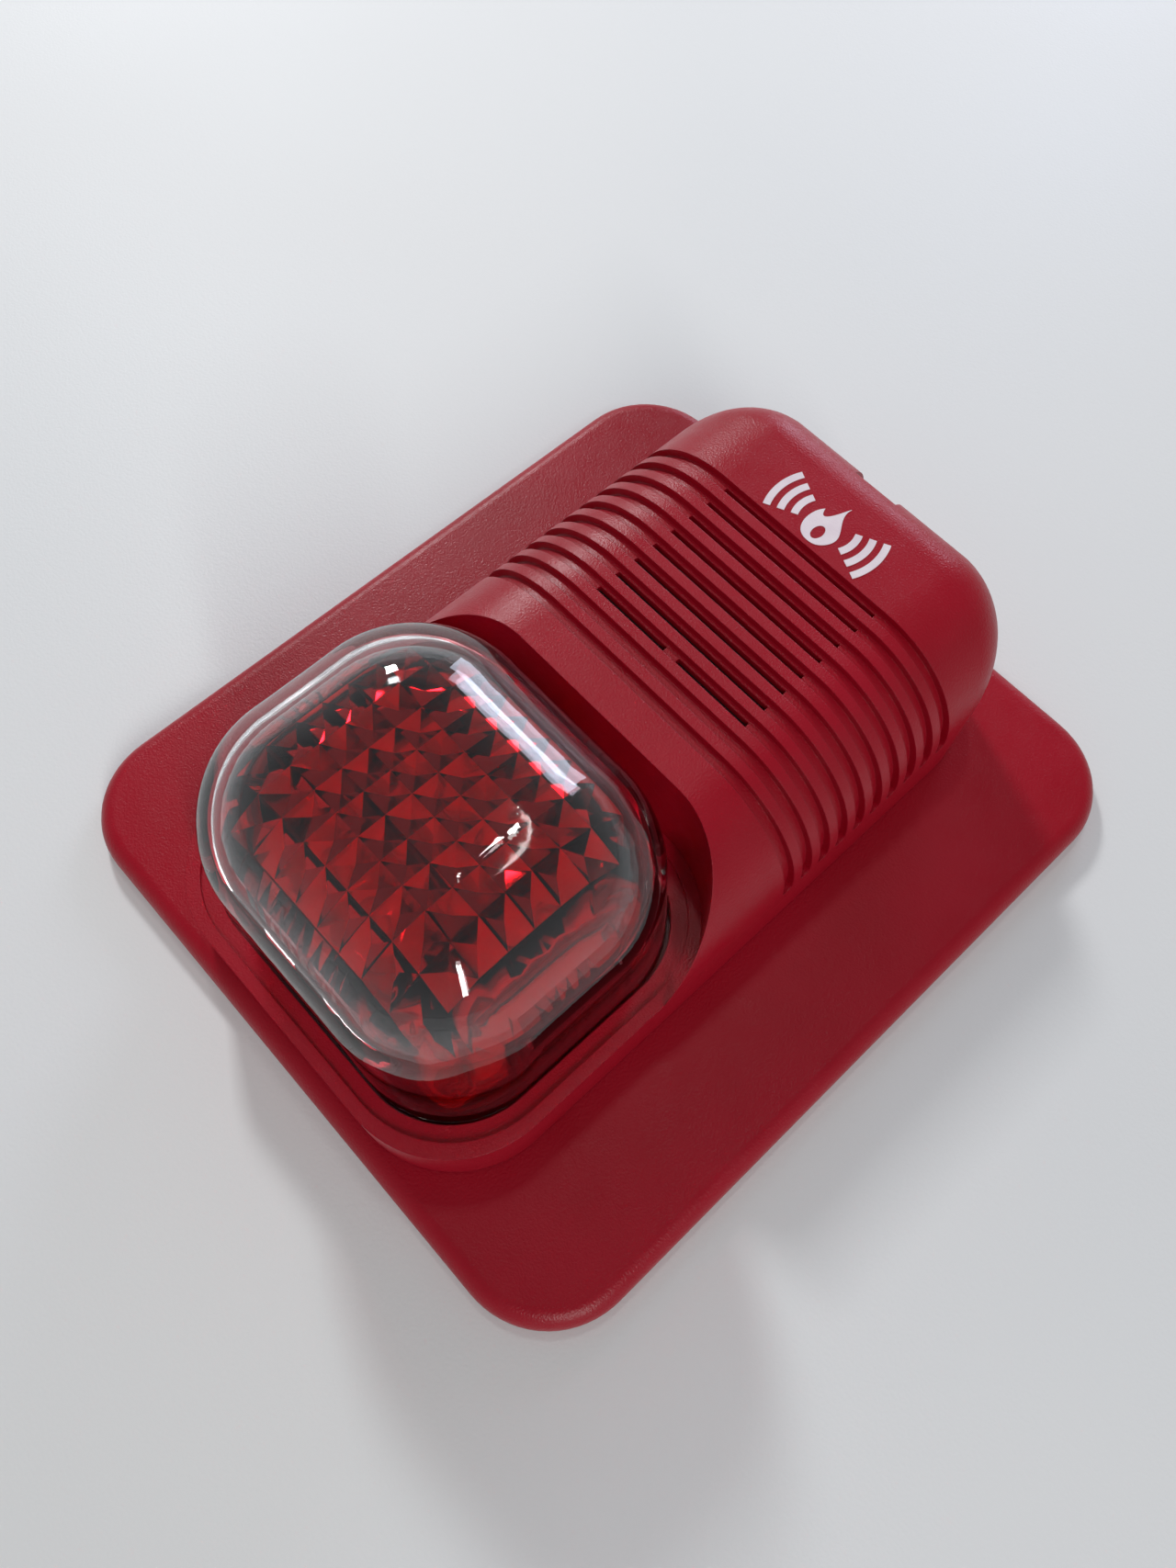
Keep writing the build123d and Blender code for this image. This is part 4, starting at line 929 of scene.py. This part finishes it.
stack = add_node(
    coil_tree,
    "GeometryNodeMeshLine",
    {
        "Count": maths(coil_tree, "DIVIDE", share(coil_tree, given["Height"], 0.68), wire_width),
        "Start Location": low_turn.outputs[0],
        "Offset": rise.outputs[0],
    },
)
turns = add_node(
    coil_tree, "GeometryNodeInstanceOnPoints", {"Points": stack.outputs[0], "Instance": turn_shape.outputs[0]}
)
assembled(coil_tree, given, ends_out, (ferrite.outputs[0], "Ferrite"), (turns.outputs[0], "Copper"))

WIRE_RADIUS = 0.00025
coil_low, coil_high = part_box("horn_coil")
winding = grown(
    "wound_coil",
    [((coil_low[0] + coil_high[0]) / 2, (coil_low[1] + coil_high[1]) / 2, coil_low[2])],
    coil_tree,
    {
        "Radius": (coil_high[0] - coil_low[0]) / 2,
        "Height": coil_high[2] - coil_low[2],
        "Wire": WIRE_RADIUS,
        "Ferrite": epoxy,
        "Copper": copper,
    },
)
placed(winding, "head", "copper_winding", "horn_coil")

# -------------------------------------------------------------- setting switches
# Four slide switches and a volume trimmer in blue bodies under the board, with
# white sliders and rotor, reached through windows in the rear cover.

blue = moulded("blue switch body", (0.01, 0.05, 0.3), (0.03, 0.1, 0.42), 0.32, depth=0.00001)
dress("dip_switch", blue)
dress("trimmer_body", blue)
for node in ("dip_slider_1", "dip_slider_2", "dip_slider_3", "dip_slider_4", "trimmer_rotor"):
    dress(node, white_gloss)

# ----------------------------------------------------------------------- leads
# PVC-covered leads: red ones from the board to the sounder disc, black ones
# along the cover to the strobe deck.

dress("piezo_leads", moulded("red PVC", (0.5, 0.01, 0.012), (0.62, 0.03, 0.03), 0.3, edge=0.0))
dress("strobe_leads", moulded("black PVC", (0.015, 0.015, 0.016), (0.04, 0.04, 0.042), 0.3, edge=0.0))

# ------------------------------------------------------------------ lock screw
# A cross-head machine screw in the notch of the horn end, and its captive nut.
# Turning it out unclamps the head from the bracket of the base.

dress("lock_nut", zinc)
lock_low, lock_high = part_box("lock_screw")
LOCK_HEAD = 0.002
lock = grown(
    "lock_screw_body",
    [((lock_low[0] + lock_high[0]) / 2, lock_high[1] - LOCK_HEAD, (lock_low[2] + lock_high[2]) / 2)],
    screw_tree,
    {
        "Head Radius": (lock_high[0] - lock_low[0]) / 2,
        "Head Height": LOCK_HEAD,
        "Shank Radius": 0.0015,
        "Shank Length": lock_high[1] - lock_low[1] - LOCK_HEAD,
        "Recess": 0.0034,
        "Recess Depth": 0.0011,
        "Pitch": 0.0006,
        "Turn": (-math.pi / 2, 0.0, 0.0),
        "Material": zinc,
    },
)
placed(lock, "lock_screw", "zinc_steel", "lock_screw")

# ------------------------------------------------------------- floor and light
# A pale satin floor in an even grey room: a low softbox beyond the horn end, a
# small window and a strip to the left, and a tall tube lamp to the right.

floor_mesh = bpy.data.meshes.new("pale floor")
FLOOR_HALF = 3.0
FLOOR_TOP = -0.0002
floor_corners = [(x * FLOOR_HALF, y * FLOOR_HALF, FLOOR_TOP) for x, y in ((-1, -1), (1, -1), (1, 1), (-1, 1))]
floor_mesh.from_pydata(floor_corners, [], [(0, 1, 2, 3)])
floor = bpy.data.objects.new("floor", floor_mesh)
bpy.context.scene.collection.objects.link(floor)
cloth_white, tree, shader = new_material("pale floor")
broad = noise(tree, 5.0)
tree.links.new(mixed(tree, broad, (0.74, 0.76, 0.77), (0.84, 0.84, 0.83)), shader.inputs["Base Color"])
tree.links.new(ranged(tree, broad, 0.3, 0.7, 0.5, 0.65), shader.inputs["Roughness"])
bumped(tree, shader, noise(tree, 1600.0, 1.0), 0.00004)
floor_mesh.materials.append(cloth_white)


def softbox(name, place, aim, size, watts, colour):
    """Rectangular area light at place, facing aim."""
    light = bpy.data.lights.new(name, "AREA")
    light.shape = "RECTANGLE"
    light.size, light.size_y = size
    light.energy = watts
    light.color = colour
    lamp = bpy.data.objects.new(name, light)
    lamp.location = place
    lamp.rotation_euler = (Vector(aim) - Vector(place)).to_track_quat("-Z", "Y").to_euler()
    bpy.context.scene.collection.objects.link(lamp)


softbox("long softbox", (-0.42, 1.08, 0.40), (0.0, 0.0, 0.05), (0.36, 0.36), 3.4, (0.78, 0.82, 1.0))
softbox("side window", (-0.95, 0.42, 0.72), (0.0, 0.0, 0.03), (0.12, 0.16), 7.0, (0.97, 0.98, 1.0))
softbox("overhead strip", (-0.33, 0.28, 1.3), (0.0, 0.0, 0.03), (0.035, 0.16), 1.2, (1.0, 0.99, 0.97))
softbox("tube lamp", (1.5, -0.75, 1.25), (0.0, 0.0, 0.03), (0.12, 0.9), 15.0, (1.0, 0.99, 0.98))

world = bpy.data.worlds.new("grey room")
bpy.context.scene.world = world
world.use_nodes = True
tree = world.node_tree
sky = tree.nodes["Background"]
way = tree.nodes.new("ShaderNodeTexCoord").outputs["Generated"]
height = add_node(tree, "ShaderNodeSeparateXYZ", {0: way}).outputs["Z"]
up = ranged(tree, height, 0.0, 0.9, 0.0, 1.0)
tree.links.new(mixed(tree, up, (0.62, 0.64, 0.66), (0.24, 0.25, 0.265)), sky.inputs["Color"])
sky.inputs["Strength"].default_value = 0.7

# ---------------------------------------------------------------------- camera
# Stands close above the strobe end and looks down along the unit with a wide
# lens, turned so that the plate lies corner to corner.

camera_data = bpy.data.cameras.new("camera")
camera_data.sensor_width = 36.0
camera_data.lens = 28.196
camera_data.clip_start = 0.01
camera = bpy.data.objects.new("camera", camera_data)
camera.location = (0.06603, -0.0741, 0.22739)
camera.rotation_euler = (math.radians(24.161), math.radians(-1.541), math.radians(47.177))
bpy.context.scene.collection.objects.link(camera)
bpy.context.scene.camera = camera
bpy.context.scene.view_settings.view_transform = "Standard"
